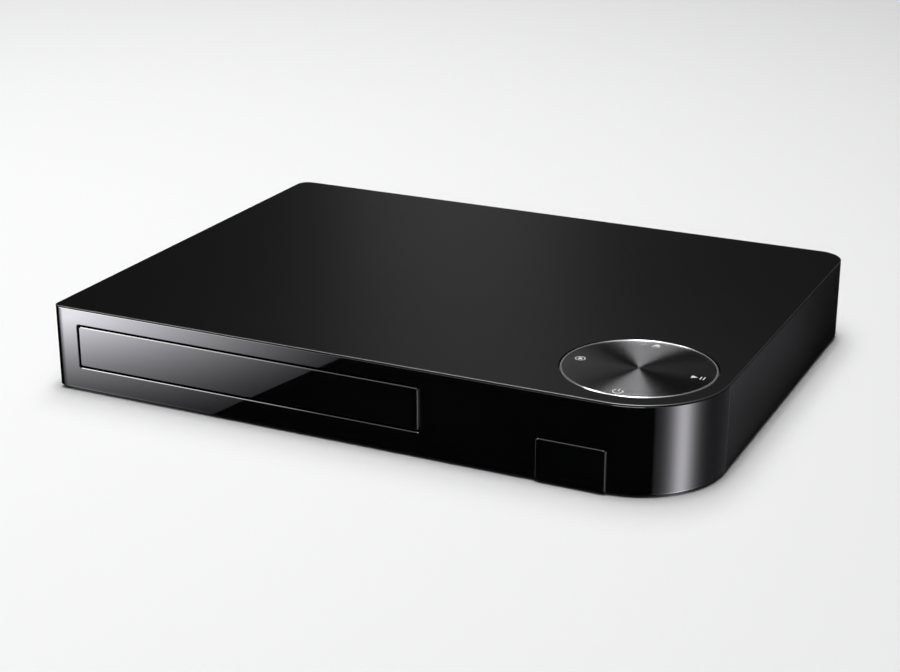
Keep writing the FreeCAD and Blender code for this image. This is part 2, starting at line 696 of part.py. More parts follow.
def make_disc_tray():
    body = new_body("disc_tray")
    left = "tray_x - tray_half"
    right = "tray_x + tray_half"
    plate = sketch_on(body, "XY_Plane", "tray_web")
    draw_rounded(plate, left, right, "tray_front", "tray_rear", ["1.5"] * 4)
    add_pad(body, plate, "tray_top - tray_web")
    rails = sketch_on(body, "XY_Plane", "tray_low")
    draw_polygon(rails, rectangle(left, "%s + 1.8" % left, "tray_front + 1.5", "tray_rear - 1.5"))
    draw_polygon(rails, rectangle("%s - 1.8" % right, right, "tray_front + 1.5", "tray_rear - 1.5"))
    draw_polygon(rails, rectangle("%s + 3" % left, "%s - 3" % right, "tray_front", "tray_front + 2"))
    add_pad(body, rails, "tray_web - tray_low + 0.2")
    recess = sketch_on(body, "XY_Plane", "tray_top")
    draw_circle(recess, "tray_x", "disc_y", "disc_recess")
    add_pocket(body, recess, "tray_top - recess_floor")
    inner = sketch_on(body, "XY_Plane", "recess_floor")
    draw_circle(inner, "tray_x", "disc_y", "small_recess")
    add_pocket(body, inner, "recess_floor - small_floor")
    grips = sketch_on(body, "XY_Plane", "tray_top")
    draw_circle(grips, "tray_x - disc_recess - 3", "disc_y", "13")
    draw_circle(grips, "tray_x + disc_recess + 3", "disc_y", "13")
    add_pocket(body, grips, "tray_top - recess_floor")
    slot = sketch_on(body, "XY_Plane", "tray_top + 1")
    draw_rounded(slot, "tray_x - slot_half", "tray_x + slot_half", "disc_y - 20", "tray_rear + 30", ["19"] * 4)
    add_pocket(body, slot, "20")
    rack = sketch_on(body, "XY_Plane", "layer_mid + 0.2")
    draw_polygon(rack, rectangle("tray_x + rack_x + 1.1", "tray_x + rack_x + 4", "gear_y - 8", "tray_rear - 3"))
    add_pad(body, rack, "tray_web - layer_mid")
    pitch = math.pi
    lean = math.tan(math.radians(PRESSURE_ANGLE))
    tooth = sketch_on(body, "XY_Plane", "layer_mid + 0.2")
    half = pitch / 4 - BACKLASH / 2
    outer = half - 0.85 * lean
    inner = half + 1.2 * lean
    middle = "gear_y - %.5f" % (pitch / 2)
    draw_polygon(tooth, [("tray_x + rack_x + 1.2", "%s - %.5f" % (middle, inner)),
                         ("tray_x + rack_x + 1.2", "%s + %.5f" % (middle, inner)),
                         ("tray_x + rack_x - 0.85", "%s + %.5f" % (middle, outer)),
                         ("tray_x + rack_x - 0.85", "%s - %.5f" % (middle, outer))])
    one = add_pad(body, tooth, "tray_web - layer_mid")
    doc.recompute()
    row = body.newObject("PartDesign::LinearPattern", "RackTeeth")
    row.Originals = [one]
    row.Direction = (tooth, ["V_Axis"])
    row.Length = pitch * (RACK_TEETH - 1)
    row.Occurrences = RACK_TEETH
    body.Tip = row
    return body


# Loader

BRIDGE_SCREWS = [("tray_x + %s" % x, "disc_y + %d" % y) for x in ("69.3", "(-69.3)") for y in (-13, 13)]


def make_loader_frame():
    left_outer = "tray_x - frame_outer"
    right_outer = "tray_x + frame_outer"
    deck = block(left_outer, right_outer, "frame_front", "frame_rear", "deck_low", "deck_high")
    solids = [deck]
    for low, high in ((left_outer, "tray_x - frame_inner"), ("tray_x + frame_inner", right_outer)):
        solids.append(block(low, high, "frame_front", "frame_rear", FLOOR_TOP, "frame_top"))
    for y in (-86, -20, 40):
        for x_low, x_high in (("tray_x - frame_inner - 0.2", "tray_x - frame_inner + 3"),
                              ("tray_x + frame_inner - 3", "tray_x + frame_inner + 0.2")):
            solids.append(block(x_low, x_high, str(y), "%d + 14" % y, "tray_top + 0.5", "tray_top + 1.9"))
    for x_low, x_high in (("tray_x - tray_half", "tray_x - tray_half + 1.6"),
                          ("tray_x + tray_half - 1.6", "tray_x + tray_half")):
        solids.append(block(x_low, x_high, "frame_front + 2", "frame_rear - 2", "deck_high - 0.1",
                            "tray_low - 0.2"))
    for side in (-1, 1):
        low = "tray_x + %d * 42.3 - 2" % side
        solids.append(block(low, low + " + 4", "pivot_y - 4", "pivot_y + 4", "pivot_z - 3.4", "deck_low + 0.1"))
    solids.append(block("tray_x - 44", "tray_x + 30", "cam_front - 2.2", "cam_front - 0.2", "deck_low - 4",
                        "deck_low + 0.1"))
    solids.append(cylinder("z", "tray_x + gear_x", "gear_y", "deck_high - 0.1", "stud",
                           "layer_high - deck_high + 0.2"))
    solids.append(cylinder("z", "tray_x + gear_x - gear_step", "gear_y", "deck_high - 0.1", "stud",
                           "layer_high - deck_high + 0.2"))
    holes = [
        block("tray_x - 40", "tray_x + 40", "traverse_front - 1", "traverse_rear + 2.5", "deck_low - 1",
              "deck_high + 1"),
        block("tray_x - 47.5", "tray_x + 36", "cam_front - 0.2", "traverse_front - 0.9", "deck_low - 1",
              "deck_high + 1"),
        cylinder("z", "tray_x + gear_x - gear_step - motor_step", "gear_y", "deck_low - 1", "3.4", "4"),
        cylinder("x", "tray_x - 46", "pivot_y", "pivot_z", "2.06", "92"),
        block(right_outer + " - 4", right_outer + " + 1", "18", "44", FLOOR_TOP + " - 1", "deck_low - 2"),
    ]
    holes += [cylinder("z", x, y, "frame_top - 5", "0.7", "6") for x, y in BRIDGE_SCREWS]
    return finish("loader_frame", cut(fuse(*solids), *holes))


def make_clamp_parts():
    x = "tray_x"
    y = "disc_y"
    strap = block("tray_x - frame_outer", "tray_x + frame_outer", "disc_y - 19", "disc_y + 19", "frame_top",
                  "frame_top + 1.2")
    ribs = [block("tray_x - frame_outer + 8", "tray_x + frame_outer - 8", "disc_y + %s" % low,
                  "disc_y + %s" % high, "frame_top + 1.1", "frame_top + 2.6")
            for low, high in ((-19, -17.8), (17.8, 19))]
    holes = [cylinder("z", at_x, at_y, "frame_top - 1", "1.15", "4") for at_x, at_y in BRIDGE_SCREWS]
    ring = cylinder("z", x, y, "frame_top - 1", "clamp_hole", "4")
    finish("clamp_bridge", cut(fuse(strap, *ribs), ring, *holes))
    pad = cylinder("z", x, y, "23.9", "12.4", "2.2")
    neck = cylinder("z", x, y, "26", "11", "3.2")
    flange = cylinder("z", x, y, "frame_top + 1.5", "16.4", "1.8")
    cup = cylinder("z", x, y, "23", "8.6", "2.6")
    pocket = cylinder("z", x, y, "28.4", "8.4", "4")
    finish("clamper", cut(fuse(pad, neck, flange), cup, pocket))
    magnet = cylinder("z", x, y, "28.4", "8.4", "2")
    finish("clamp_magnet", cut(magnet, cylinder("z", x, y, "28", "3", "3")))


def make_traverse():
    body = new_body("traverse_frame")
    plate = sketch_on(body, "XY_Plane", "traverse_low")
    draw_rounded(plate, "tray_x - traverse_half", "tray_x + traverse_half", "traverse_front", "traverse_rear",
                 ["3"] * 4)
    add_pad(body, plate, "traverse_high - traverse_low")
    window = sketch_on(body, "XY_Plane", "traverse_high + 1")
    draw_rounded(window, "tray_x - 33.5", "tray_x + 35.2", "disc_y + 16", "50", ["0.5"] * 4)
    draw_circle(window, "tray_x", "disc_y", "13.4")
    add_pocket(body, window, "8")
    pins = sketch_on(body, "XZ_Plane", "-traverse_front - 0.5")
    for side in (-1, 1):
        draw_circle(pins, "tray_x + %d * pin_x" % side, "pin_z", "pin")
    front_pins = add_pad(body, pins, "traverse_front - cam_front + 0.5")
    doc.recompute()
    if front_pins.Shape.BoundBox.YMin > measure("cam_front"):
        front_pins.Reversed = True
    doc.recompute()
    trunnions = sketch_on(body, "YZ_Plane", "tray_x")
    draw_circle(trunnions, "pivot_y", "pivot_z", "2")
    add_pad(body, trunnions, "88.6", midplane=True)
    rods = sketch_on(body, "XZ_Plane", "-52")
    draw_circle(rods, "tray_x - rod_left", "rod_z", "rod")
    draw_circle(rods, "tray_x + rod_right", "rod_z", "rod")
    add_pocket(body, rods, "68", reverse=True)
    return body


def make_spindle():
    x = "tray_x"
    y = "disc_y"
    can = cylinder("z", x, y, "traverse_low - 0.1", "13.4", "2")
    flange = cylinder("z", x, y, "traverse_low - 0.9", "14.8", "0.9")
    finish("spindle_motor", cut(fuse(can, flange), cylinder("z", x, y, "8", "1.58", "8")))
    rotor = cylinder("z", x, y, "12.7", "12.6", "5.6")
    neck = cylinder("z", x, y, "18.2", "6", "3")
    table = cylinder("z", x, y, "20.7", "turntable", "1.8")
    cone_top = cone("z", x, y, "22.4", "7.4", "6", "2.2")
    shaft = cylinder("z", x, y, "traverse_low - 0.7", "1.5", "14.6")
    finish("turntable", fuse(rotor, neck, table, cone_top, shaft))


PICKUP_Y = "disc_y + 24"


def make_pickup():
    body = fuse(
        block("tray_x - 22", "tray_x + 18", "disc_y + 16.8", "disc_y + 40", "10.8", "18.6"),
        block("tray_x - rod_left - 3.2", "tray_x - 21", "disc_y + 18", "disc_y + 38", "rod_z - 2.8",
              "rod_z + 3"),
        block("tray_x + 17", "tray_x + rod_right + 2.8", "disc_y + 22", "disc_y + 34", "rod_z - 2.8",
              "rod_z + 3"),
        block("tray_x + rod_right + 2", "tray_x + screw_x + 2.4", "disc_y + 24.4", "disc_y + 30.4",
              "rod_z - 2.8", "rod_z + 2.6"))
    solid = cut(body,
                cylinder("y", "tray_x - rod_left", "disc_y", "rod_z", "rod + 0.06", "70"),
                cylinder("y", "tray_x + rod_right", "disc_y", "rod_z", "rod + 0.06", "70"),
                cylinder("y", "tray_x + screw_x", "disc_y", "rod_z", "lead_screw + 0.1", "70"),
                block("tray_x - 9", "tray_x + 9", "disc_y + 18.5", "disc_y + 31.5", "15", "20"))
    finish("pickup_body", solid)
    holder = block("tray_x - 5.5", "tray_x + 5.5", "disc_y + 19.6", "disc_y + 29.4", "15", "19.6")
    arms = block("tray_x - 8", "tray_x + 8", "disc_y + 23.2", "disc_y + 25.8", "15", "16.6")
    finish("lens_holder", cut(fuse(holder, arms), cylinder("z", "tray_x", PICKUP_Y, "17", "2.6", "4")))
    lens = cylinder("z", "tray_x", PICKUP_Y, "17", "2.6", "2.2")
    dome = doc.addObject("Part::Sphere", "Dome")
    bind(dome, "Radius", "3.4")
    base(dome, "tray_x", PICKUP_Y, "16.6")
    bowl = doc.addObject("Part::MultiCommon", "Bowl")
    bowl.Shapes = [dome, cylinder("z", "tray_x", PICKUP_Y, "17", "2.6", "6")]
    finish("pickup_lens", fuse(lens, bowl))
    for label, x in (("guide_rod_left", "tray_x - rod_left"), ("guide_rod_right", "tray_x + rod_right")):
        finish(label, cylinder("y", "0", "0", "0", "rod", "66"), x, "disc_y + 13", "rod_z")
    screw = cylinder("y", "tray_x + screw_x", "disc_y + 17", "rod_z", "lead_screw", "48.2")
    journal = cylinder("y", "tray_x + screw_x", "disc_y + 16.4", "rod_z", "0.7", "60")
    finish("lead_screw", fuse(screw, journal))
    can = cylinder("y", "tray_x + screw_x", "37.5", "rod_z", "4.6", "12.5")
    tabs = block("tray_x + screw_x - 4", "tray_x + screw_x + 4", "48.6", "50", "traverse_low + 0.2",
                 "traverse_high")
    finish("sled_motor", cut(fuse(can, tabs), cylinder("y", "tray_x + screw_x", "36", "rod_z", "0.78", "13.2")))


def make_cam_slider():
    plate = block("tray_x - 34", "tray_x + 34", "cam_front", "cam_rear", "4.9", "15.3")
    lip = block("tray_x - 34", "tray_x + 12", "cam_front - 3", "cam_rear", "deck_high + 0.1", "deck_high + 1")
    lip_right = block("tray_x + 12", "tray_x + 34", "cam_front - 0.1", "cam_rear", "deck_high - 1",
                      "deck_high + 1")
    slope = math.atan2(SIZE["cam_drop"], SIZE["cam_travel"])
    slots = []
    for side in (-1, 1):
        start_x = "tray_x + %d * pin_x" % side
        run = doc.addObject("Part::Box", "SlotRun")
        run.Placement = FreeCAD.Placement(Vector(), FreeCAD.Rotation(Vector(0, 1, 0), math.degrees(slope)))
        bind(run, "Length", "sqrt(cam_travel * cam_travel + cam_drop * cam_drop)")
        bind(run, "Width", "cam_rear - cam_front + 2")
        bind(run, "Height", "2 * (pin + 0.3)")
        base(run, "%s - (pin + 0.3) * %.6f" % (start_x, math.sin(slope)), "cam_front - 1",
             "pin_z - (pin + 0.3) * %.6f" % math.cos(slope))
        slots.append(run)
        slots.append(cylinder("y", start_x, "cam_front - 1", "pin_z", "pin + 0.3", "cam_rear - cam_front + 2"))
        slots.append(cylinder("y", "%s + cam_travel" % start_x, "cam_front - 1", "pin_z - cam_drop",
                              "pin + 0.3", "cam_rear - cam_front + 2"))
    return finish("cam_slider", cut(fuse(plate, lip, lip_right), *slots))


# Involute gear: one flank runs from the root to the tip through three points of the curve

def involute(radius_base, radius):
    ratio = min(1.0, radius_base / radius)
    roll = math.acos(ratio)
    return math.tan(roll) - roll


def tooth_edges(module, teeth, turn):
    pitch_radius = module * teeth / 2
    base_radius = pitch_radius * math.cos(math.radians(PRESSURE_ANGLE))
    tip = pitch_radius + 0.8 * module
    root = pitch_radius - 1.15 * module
    half_angle = (math.pi * module / 2 - BACKLASH) / (2 * pitch_radius)
    offset = half_angle + involute(base_radius, pitch_radius)

    def spot(radius, side):
        angle = offset - involute(base_radius, max(radius, base_radius))
        heading = turn + side * angle
        return Vector(radius * math.cos(heading), radius * math.sin(heading), 0)

    low = root - 0.4 * module
    begin = max(root, base_radius)
    middle = (begin + tip) / 2
    edges = [Part.LineSegment(spot(low, -1), spot(begin, -1))]
    edges.append(Part.Arc(spot(begin, -1), spot(middle, -1), spot(tip, -1)))
    edges.append(Part.LineSegment(spot(tip, -1), spot(tip, 1)))
    edges.append(Part.Arc(spot(tip, 1), spot(middle, 1), spot(begin, 1)))
    edges.append(Part.LineSegment(spot(begin, 1), spot(low, 1)))
    edges.append(Part.LineSegment(spot(low, 1), spot(low, -1)))
    return edges, root


def add_teeth(body, module, teeth, z_low, height, turn=0.0):
    edges, root = tooth_edges(module, teeth, turn)
    blank = sketch_on(body, "XY_Plane", z_low)
    draw_circle(blank, "0", "0", "%.5f" % root)
    add_pad(body, blank, height)
    profile = sketch_on(body, "XY_Plane", z_low)
    for edge in edges:
        profile.addGeometry(edge)
    for i in range(len(edges)):
        profile.addConstraint(Sketcher.Constraint("Coincident", i, 2, (i + 1) % len(edges), 1))
    for i in range(len(edges)):
        profile.addConstraint(Sketcher.Constraint("Block", i))
    tooth = add_pad(body, profile, height)
    doc.recompute()
    ring = body.newObject("PartDesign::PolarPattern", "GearTeeth")
    ring.Originals = [tooth]
    ring.Axis = (profile, ["N_Axis"])
    ring.Angle = 360
    ring.Occurrences = teeth
    body.Tip = ring
    doc.recompute()


def bore_through(body, radius):
    hole = sketch_on(body, "XY_Plane", "layer_high + 2")
    draw_circle(hole, "0", "0", radius)
    add_pocket(body, hole, "12")


def make_gears():
    drive = new_body("drive_gear", "tray_x + gear_x", "gear_y")
    add_teeth(drive, 0.8, 34, "layer_low", "layer_mid - layer_low - 0.1")
    add_teeth(drive, 1.0, 16, "layer_mid - 0.2", "layer_high - layer_mid")
    bore_through(drive, "stud + 0.06")
    pulley = new_body("pulley_gear", "tray_x + gear_x - gear_step", "gear_y")
    add_teeth(pulley, 0.8, 12, "layer_low", "layer_mid - layer_low", math.pi / 12)
    for low, height, radius in (("layer_mid - 0.1", "0.7", "pulley + 0.8"),
                                ("layer_mid + 0.5", "1.3", "pulley"),
                                ("layer_mid + 1.7", "0.6", "pulley + 0.8")):
        wheel = sketch_on(pulley, "XY_Plane", low)
        draw_circle(wheel, "0", "0", radius)
        add_pad(pulley, wheel, height)
    bore_through(pulley, "stud + 0.06")


def make_loader_motor():
    x = "tray_x + gear_x - gear_step - motor_step"
    can = cylinder("z", x, "gear_y", "%s + 0.2" % FLOOR_TOP, "9", "deck_low - (%s) - 0.2" % FLOOR_TOP)
    boss = cylinder("z", x, "gear_y", "deck_low - 0.1", "3.3", "1.4")
    finish("loading_motor", cut(fuse(can, boss), cylinder("z", x, "gear_y", "11", "1.06", "6")))
    shaft = cylinder("z", x, "gear_y", "11.4", "1", "8")
    lower = cylinder("z", x, "gear_y", "layer_mid - 0.1", "small_pulley + 0.8", "0.7")
    groove = cylinder("z", x, "gear_y", "layer_mid + 0.5", "small_pulley", "1.3")
    upper = cylinder("z", x, "gear_y", "layer_mid + 1.7", "small_pulley + 0.8", "0.6")
    finish("motor_pulley", fuse(shaft, lower, groove, upper))


def make_drive_belt():
    apart = SIZE["motor_step"]
    big = SIZE["pulley"] + 0.08
    small = SIZE["small_pulley"] + 0.08
    thick = SIZE["belt"] * 0.75

    def loop(grow):
        one = big + grow
        two = small + grow
        lean = math.asin((one - two) / apart)
        right_one = Vector(-one * math.sin(lean), one * math.cos(lean), 0)
        right_two = Vector(-apart - two * math.sin(lean), two * math.cos(lean), 0)
        left_one = Vector(right_one.x, -right_one.y, 0)
        left_two = Vector(right_two.x, -right_two.y, 0)
        edges = [
            Part.Arc(left_one, Vector(one, 0, 0), right_one).toShape(),
            Part.LineSegment(right_one, right_two).toShape(),
            Part.Arc(right_two, Vector(-apart - two, 0, 0), left_two).toShape(),
            Part.LineSegment(left_two, left_one).toShape(),
        ]
        return Part.Face(Part.Wire(edges))

    band = loop(thick).cut(loop(0.0))
    belt = doc.addObject("Part::Feature", "Belt")
    belt.Shape = band.extrude(Vector(0, 0, SIZE["belt"]))
    return finish("drive_belt", belt, "tray_x + gear_x - gear_step", "gear_y", "layer_mid + 0.7")


def make_screws():
    loader = [screw_down(x, y, "frame_top + 2.2", "6") for x, y in BRIDGE_SCREWS]
    finish("loader_screws", group(*loader))
    below = []
    for x, y in COVER_POSTS:
        head = cylinder("z", x, y, "foot_height + 0.1", "2.6", "1")
        shank = cylinder("z", x, y, "foot_height + 1", "1.1", "8")
        below.append(fuse(head, shank))
    finish("case_screws", group(*below))


# Boards and sockets

def make_boards():
    high = "board_z + board"
    plate = block("36", "124", "-40", "93", "board_z", high)
    chips = [
        block("54", "66", "50", "60", "%s - 0.1" % high, "%s + 1.2" % high),
        block("100", "112", "0", "9", "%s - 0.1" % high, "%s + 1.2" % high),
        block("40", "46", "-20", "4", "%s - 0.1" % high, "%s + 4.5" % high),
        block("disc_x - 6", "disc_x + 6", "-38", "-33", "%s - 0.1" % high, "%s + 2.7" % high),
        block("102", "118", "36", "54", "%s - 0.1" % high, "%s + 2" % high),
    ]
    cans = [cylinder("z", x, y, "%s - 0.1" % high, "3", "9") for x, y in
            (("50", "20"), ("50", "30"), ("112", "-22"), ("56", "-24"))]
    finish("main_board", fuse(plate, *chips, *cans))
    sink = block("70", "94", "14", "38", high, "%s + 3" % high)
    fins = [block("70 + %s" % (3.25 * i), "71.2 + %s" % (3.25 * i), "14", "38", "%s + 2.9" % high,
                  "%s + 11" % high) for i in range(8)]
    finish("heat_sink", fuse(sink, *fins))
    strip = block("-128", "28", "74.4", "94.2", "board_z", high)
    socketed = block("19", "25", "76", "92", "%s - 0.1" % high, "%s + 5" % high)
    finish("power_board", fuse(strip, socketed))
    core = block("-50", "-26", "75", "93", high, "%s + 14" % high)
    coil = block("-54", "-22", "79", "89", "%s + 3" % high, "%s + 11" % high)
    finish("power_transformer", fuse(core, coil))
    finish("power_capacitors", group(cylinder("z", "-70", "84.5", high, "7.5", "16"),
                                     cylinder("z", "-8", "84.5", high, "5", "14"),
                                     cylinder("z", "6", "84.5", high, "5", "14")))


def make_sockets():
    high = "board_z + board"
    video_z = "%s + 3" % high
    shell = block("video_x - 7.5", "video_x + 7.5", "86", "depth / 2 - 0.3", high, "%s + 6" % high)
    cave = block("video_x - 7", "video_x + 7", "88", "depth / 2 + 1", "%s + 0.6" % high, "%s + 5.4" % high)
    tongue = block("video_x - 5.6", "video_x + 5.6", "87.5", "depth / 2 - 1.4", "%s - 0.5" % video_z,
                   "%s + 0.5" % video_z)
    finish("video_socket", fuse(cut(shell, cave), tongue))
    jack = block("network_x - 8", "network_x + 8", "82", "depth / 2 - 0.2", high, "%s + 13.6" % high)
    hollow = block("network_x - 5.9", "network_x + 5.9", "86", "depth / 2 + 1", "%s + 3.6" % high,
                   "%s + 11.6" % high)
    latch = block("network_x - 3", "network_x + 3", "86", "depth / 2 + 1", "%s + 1.6" % high, "%s + 3.7" % high)
    finish("network_socket", cut(jack, hollow, latch))
    centre_z = "%s + 6.5" % high
    rear = "depth / 2 - rear_inset - rear_plate"
    box = block("jack_x - 5.5", "jack_x + 5.5", "85", rear, high, "%s + 12.5" % high)
    barrel = cylinder("y", "jack_x", "depth / 2 - 3", centre_z, "4.15", "3 + jack_reach")
    bore = cylinder("y", "jack_x", "88", centre_z, "1.7", "30")
    finish("audio_jack", cut(fuse(box, barrel), bore))
    housing = block("inlet_x - 13", "inlet_x + 13", "80", rear, high, "inlet_z + 8")
    collar = block("inlet_x - 10", "inlet_x + 10", "%s - 0.1" % rear, "depth / 2 + 0.2", "inlet_z - 5.3",
                   "inlet_z + 5.3")
    recess = [
        cylinder("y", "inlet_x - 4.3", "84", "inlet_z", "4.3", "20"),
        cylinder("y", "inlet_x + 4.3", "84", "inlet_z", "4.3", "20"),
        block("inlet_x - 4.3", "inlet_x + 4.3", "84", "depth / 2 + 2", "inlet_z - 3.7", "inlet_z + 3.7"),
    ]
    finish("mains_inlet", cut(fuse(housing, collar), *recess))
    finish("inlet_pins", group(*[cylinder("y", "inlet_x + %s" % x, "84", "inlet_z", "1.2", "10.5")
                                 for x in ("4.3", "-4.3")]))


def make_front_port():
    finish("front_board", fuse(
        block("44", "106", "-91.5", "-74", "6.4", "board_z"),
        block("88", "100", "-79", "-75", "board_z - 0.1", "board_z + 2.4")))
    middle = "(flap_low_x + flap_high_x) / 2"
    shell = block(middle + " - 6.7", middle + " + 6.7", "-94", "-80", "board_z", "board_z + 5.9")
    cave = block(middle + " - 6.2", middle + " + 6.2", "-95", "-82", "board_z + 0.45", "board_z + 5.45")
    tongue = block(middle + " - 5.6", middle + " + 5.6", "-93", "-81.5", "board_z + 3.4", "board_z + 5.2")
    finish("data_port", fuse(cut(shell, cave), tongue))
    plate = block("flap_low_x - 2.4", "flap_high_x + 2.4", "-depth / 2 + wall + 1.5", "-depth / 2 + wall + 2.5",
                  "8.3", "flap_high_z + 1.6")
    lips = block("flap_low_x + 0.4", "flap_high_x - 3.2", "-depth / 2 + wall", "-depth / 2 + wall + 1.6",
                 "flap_high_z + 0.2", "flap_high_z + 1.6")
    window = block(middle + " - 7.2", middle + " + 7.2", "-depth / 2", "-90", "board_z - 1", "board_z + 6.4")
    finish("port_surround", cut(fuse(plate, lips), window))
    receiver = block("50", "56", "-90.5", "-86", "board_z", "board_z + 7")
    lens = cylinder("y", "53", "-92", "board_z + 4.2", "2.2", "1.6")
    finish("remote_sensor", fuse(receiver, lens))


def make_port_flap():
    body = new_body("port_flap")
    face = sketch_on(body, "XZ_Plane", "depth / 2 + flap_proud")
    draw_rounded(face, "flap_low_x + flap_gap", "flap_high_x - flap_gap", "foot_height - 0.1",
                 "flap_high_z - flap_gap", ["0.5", "0.5", "1.1", "1.1"])
    slab = add_pad(body, face, "1.9", reverse=True)
    doc.recompute()
    front = measure("-depth / 2 - flap_proud")
    edges = edges_where(slab.Shape, lambda box, edge: near(box.YMin, front) and near(box.YMax, front))
    add_chamfer(body, slab, edges, "0.2")
    barrel = sketch_on(body, "YZ_Plane", "(flap_low_x + flap_high_x) / 2")
    draw_circle(barrel, "-depth / 2 + flap_pivot_y", "flap_pivot_z", "1.35")
    add_pad(body, barrel, "flap_high_x - flap_low_x - 1.2", midplane=True)
    arm = sketch_on(body, "YZ_Plane", "(flap_low_x + flap_high_x) / 2")
    draw_polygon(arm, rectangle("-depth / 2 + 0.9", "-depth / 2 + flap_pivot_y", "flap_pivot_z - 1.35",
                                "flap_pivot_z + 1.35"))
    add_pad(body, arm, "flap_high_x - flap_low_x - 1.2", midplane=True)
    eye = sketch_on(body, "YZ_Plane", "(flap_low_x + flap_high_x) / 2")
    draw_circle(eye, "-depth / 2 + flap_pivot_y", "flap_pivot_z", "0.66")
    add_pocket(body, eye)
    finish("flap_pin", cylinder("x", "0", "0", "0", "0.6", "flap_high_x - flap_low_x + 3.8"),
           "flap_low_x - 1.9", "-depth / 2 + flap_pivot_y", "flap_pivot_z")
    return body


# Controls

def make_controls():
    x = "disc_x"
    y = "control_y"
    ring = cut(cylinder("z", x, y, "25.4", "29.6", "6.9"), cylinder("z", x, y, "25", "27.6", "8"))
    lip = cut(cylinder("z", x, y, "25.4", "28", "1"), cylinder("z", x, y, "25", "25.6", "2"))
    ears = []
    for heading in (100, 150, 200):
        for low, high, reach in (("30.3", "32.3", 28.4), ("32.2", COVER_UNDER, 30.3)):
            ear = block("-3.5", "3.5", "0", "8", low, high)
            ear.Placement = FreeCAD.Placement(Vector(), FreeCAD.Rotation(Vector(0, 0, 1), heading - 90))
            bind(ear, "Width", "37 - %s" % reach)
            away = Vector(math.cos(math.radians(heading)), math.sin(math.radians(heading)), 0)
            base(ear, "disc_x + (%.5f)" % (away.x * reach - 3.5 * away.y),
                 "control_y + (%.5f)" % (away.y * reach + 3.5 * away.x), low)
            ears.append(ear)
    pivot_holes = cylinder("x", "disc_x - 31", y, "gimbal_z", "0.66", "62")
    finish("key_frame", cut(fuse(ring, lip, *ears), pivot_holes))
    board = cylinder("z", x, y, "24.2", "27", "1.2")
    socket = block("disc_x - 5", "disc_x + 5", "control_y + 21", "control_y + 25", "22", "24.3")
    finish("key_board", fuse(board, socket))
    spots = {"front": (0, -1), "rear": (0, 1), "left": (-1, 0), "right": (1, 0)}
    switches = []
    for name, (along, across) in spots.items():
        key_x = "disc_x + %d * key_reach" % along
        key_y = "control_y + %d * key_reach" % across
        housing = block("%s - 3" % key_x, "%s + 3" % key_x, "%s - 3" % key_y, "%s + 3" % key_y, "25.4", "28.3")
        switches.append(cut(housing, cylinder("z", key_x, key_y, "27.8", "1.68", "2")))
        finish("switch_stem_" + name, cylinder("z", "0", "0", "0", "1.6", "0.9"), key_x, key_y, "28.2")
    finish("key_switches", group(*switches))
    rim = cut(cylinder("z", x, y, "29.2", "26.4", "2"), cylinder("z", x, y, "29", "24", "3"))
    pins = [cylinder("x", "disc_x + 25.5", y, "gimbal_z", "0.6", "3.4"),
            cylinder("x", "disc_x - 28.9", y, "gimbal_z", "0.6", "3.4")]
    finish("gimbal_ring", cut(fuse(rim, *pins), cylinder("y", x, "control_y - 30", "gimbal_z", "0.66", "60")))
    plate = cylinder("z", x, y, "31.9", "26.5", "1.3")
    hub = [block("disc_x - 2", "disc_x + 2", "control_y + 20", "control_y + 23.3", "29.3", "32"),
           block("disc_x - 2", "disc_x + 2", "control_y - 23.3", "control_y - 20", "29.3", "32")]
    stubs = [cylinder("y", x, "control_y + 23.2", "gimbal_z", "0.6", "2.9"),
             cylinder("y", x, "control_y - 26.1", "gimbal_z", "0.6", "2.9")]
    pushers = [cylinder("z", "disc_x + %d * key_reach" % along, "control_y + %d * key_reach" % across, "29.5",
                        "1.5", "2.5") for along, across in spots.values()]
    finish("disc_carrier", fuse(plate, *hub, *stubs, *pushers))
    body = new_body("control_disc", "disc_x", "control_y")
    face = sketch_on(body, "XY_Plane", "33.2")
    draw_circle(face, "0", "0", "control_disc")
    slab = add_pad(body, face, "height - 33.2")
    doc.recompute()
    top = SIZE["height"]
    edge = edges_where(slab.Shape, lambda box, edge: near(box.ZMin, top) and near(box.ZMax, top))
    add_chamfer(body, slab, edge, "disc_bevel")
    dish = sketch_on(body, "XY_Plane", "height")
    draw_circle(dish, "0", "0", "control_disc - disc_bevel - disc_dish - 0.05")
    hollow = add_pocket(body, dish, "disc_dish")
    crown = measure("control_disc - disc_bevel") - 0.1
    edge = edges_where(hollow.Shape, lambda box, edge: near(box.ZMin, top) and box.XMax < crown)
    add_chamfer(body, hollow, edge, "disc_dish - 0.02")


# Flat ribbon and power leads

def make_leads():
    ribbon = new_body("key_ribbon")
    path = sketch_on(ribbon, "YZ_Plane", "disc_x")
    draw_polygon(path, [("control_y + 22", "21.7"), ("control_y + 22", "22"), ("-36.3", "22"),
                        ("-35.6", "21.3"), ("-35.6", "12.3"), ("-35.9", "12.3"), ("-35.9", "21"),
                        ("-36.6", "21.7")])
    add_pad(ribbon, path, "8", midplane=True)
    leads = []
    for i in range(4):
        y = "77.4 + %s" % (1.8 * i)
        leads.append(fuse(cylinder("z", "22", y, "14.6", "0.7", "4.4"),
                          cylinder("x", "22", y, "19", "0.7", "20"),
                          cylinder("z", "42", y, "9.6", "0.7", "9.4")))
    finish("power_leads", group(*leads))


make_top_cover()
make_front_panel()
make_bottom_case()
make_rear_panel()
make_feet()
make_tray_door()
make_disc_tray()
make_loader_frame()
make_clamp_parts()
make_traverse()
make_spindle()
make_pickup()
make_cam_slider()
make_gears()
make_loader_motor()
make_drive_belt()
make_screws()
make_boards()
make_sockets()
make_front_port()
make_port_flap()
make_controls()
make_leads()
doc.recompute()

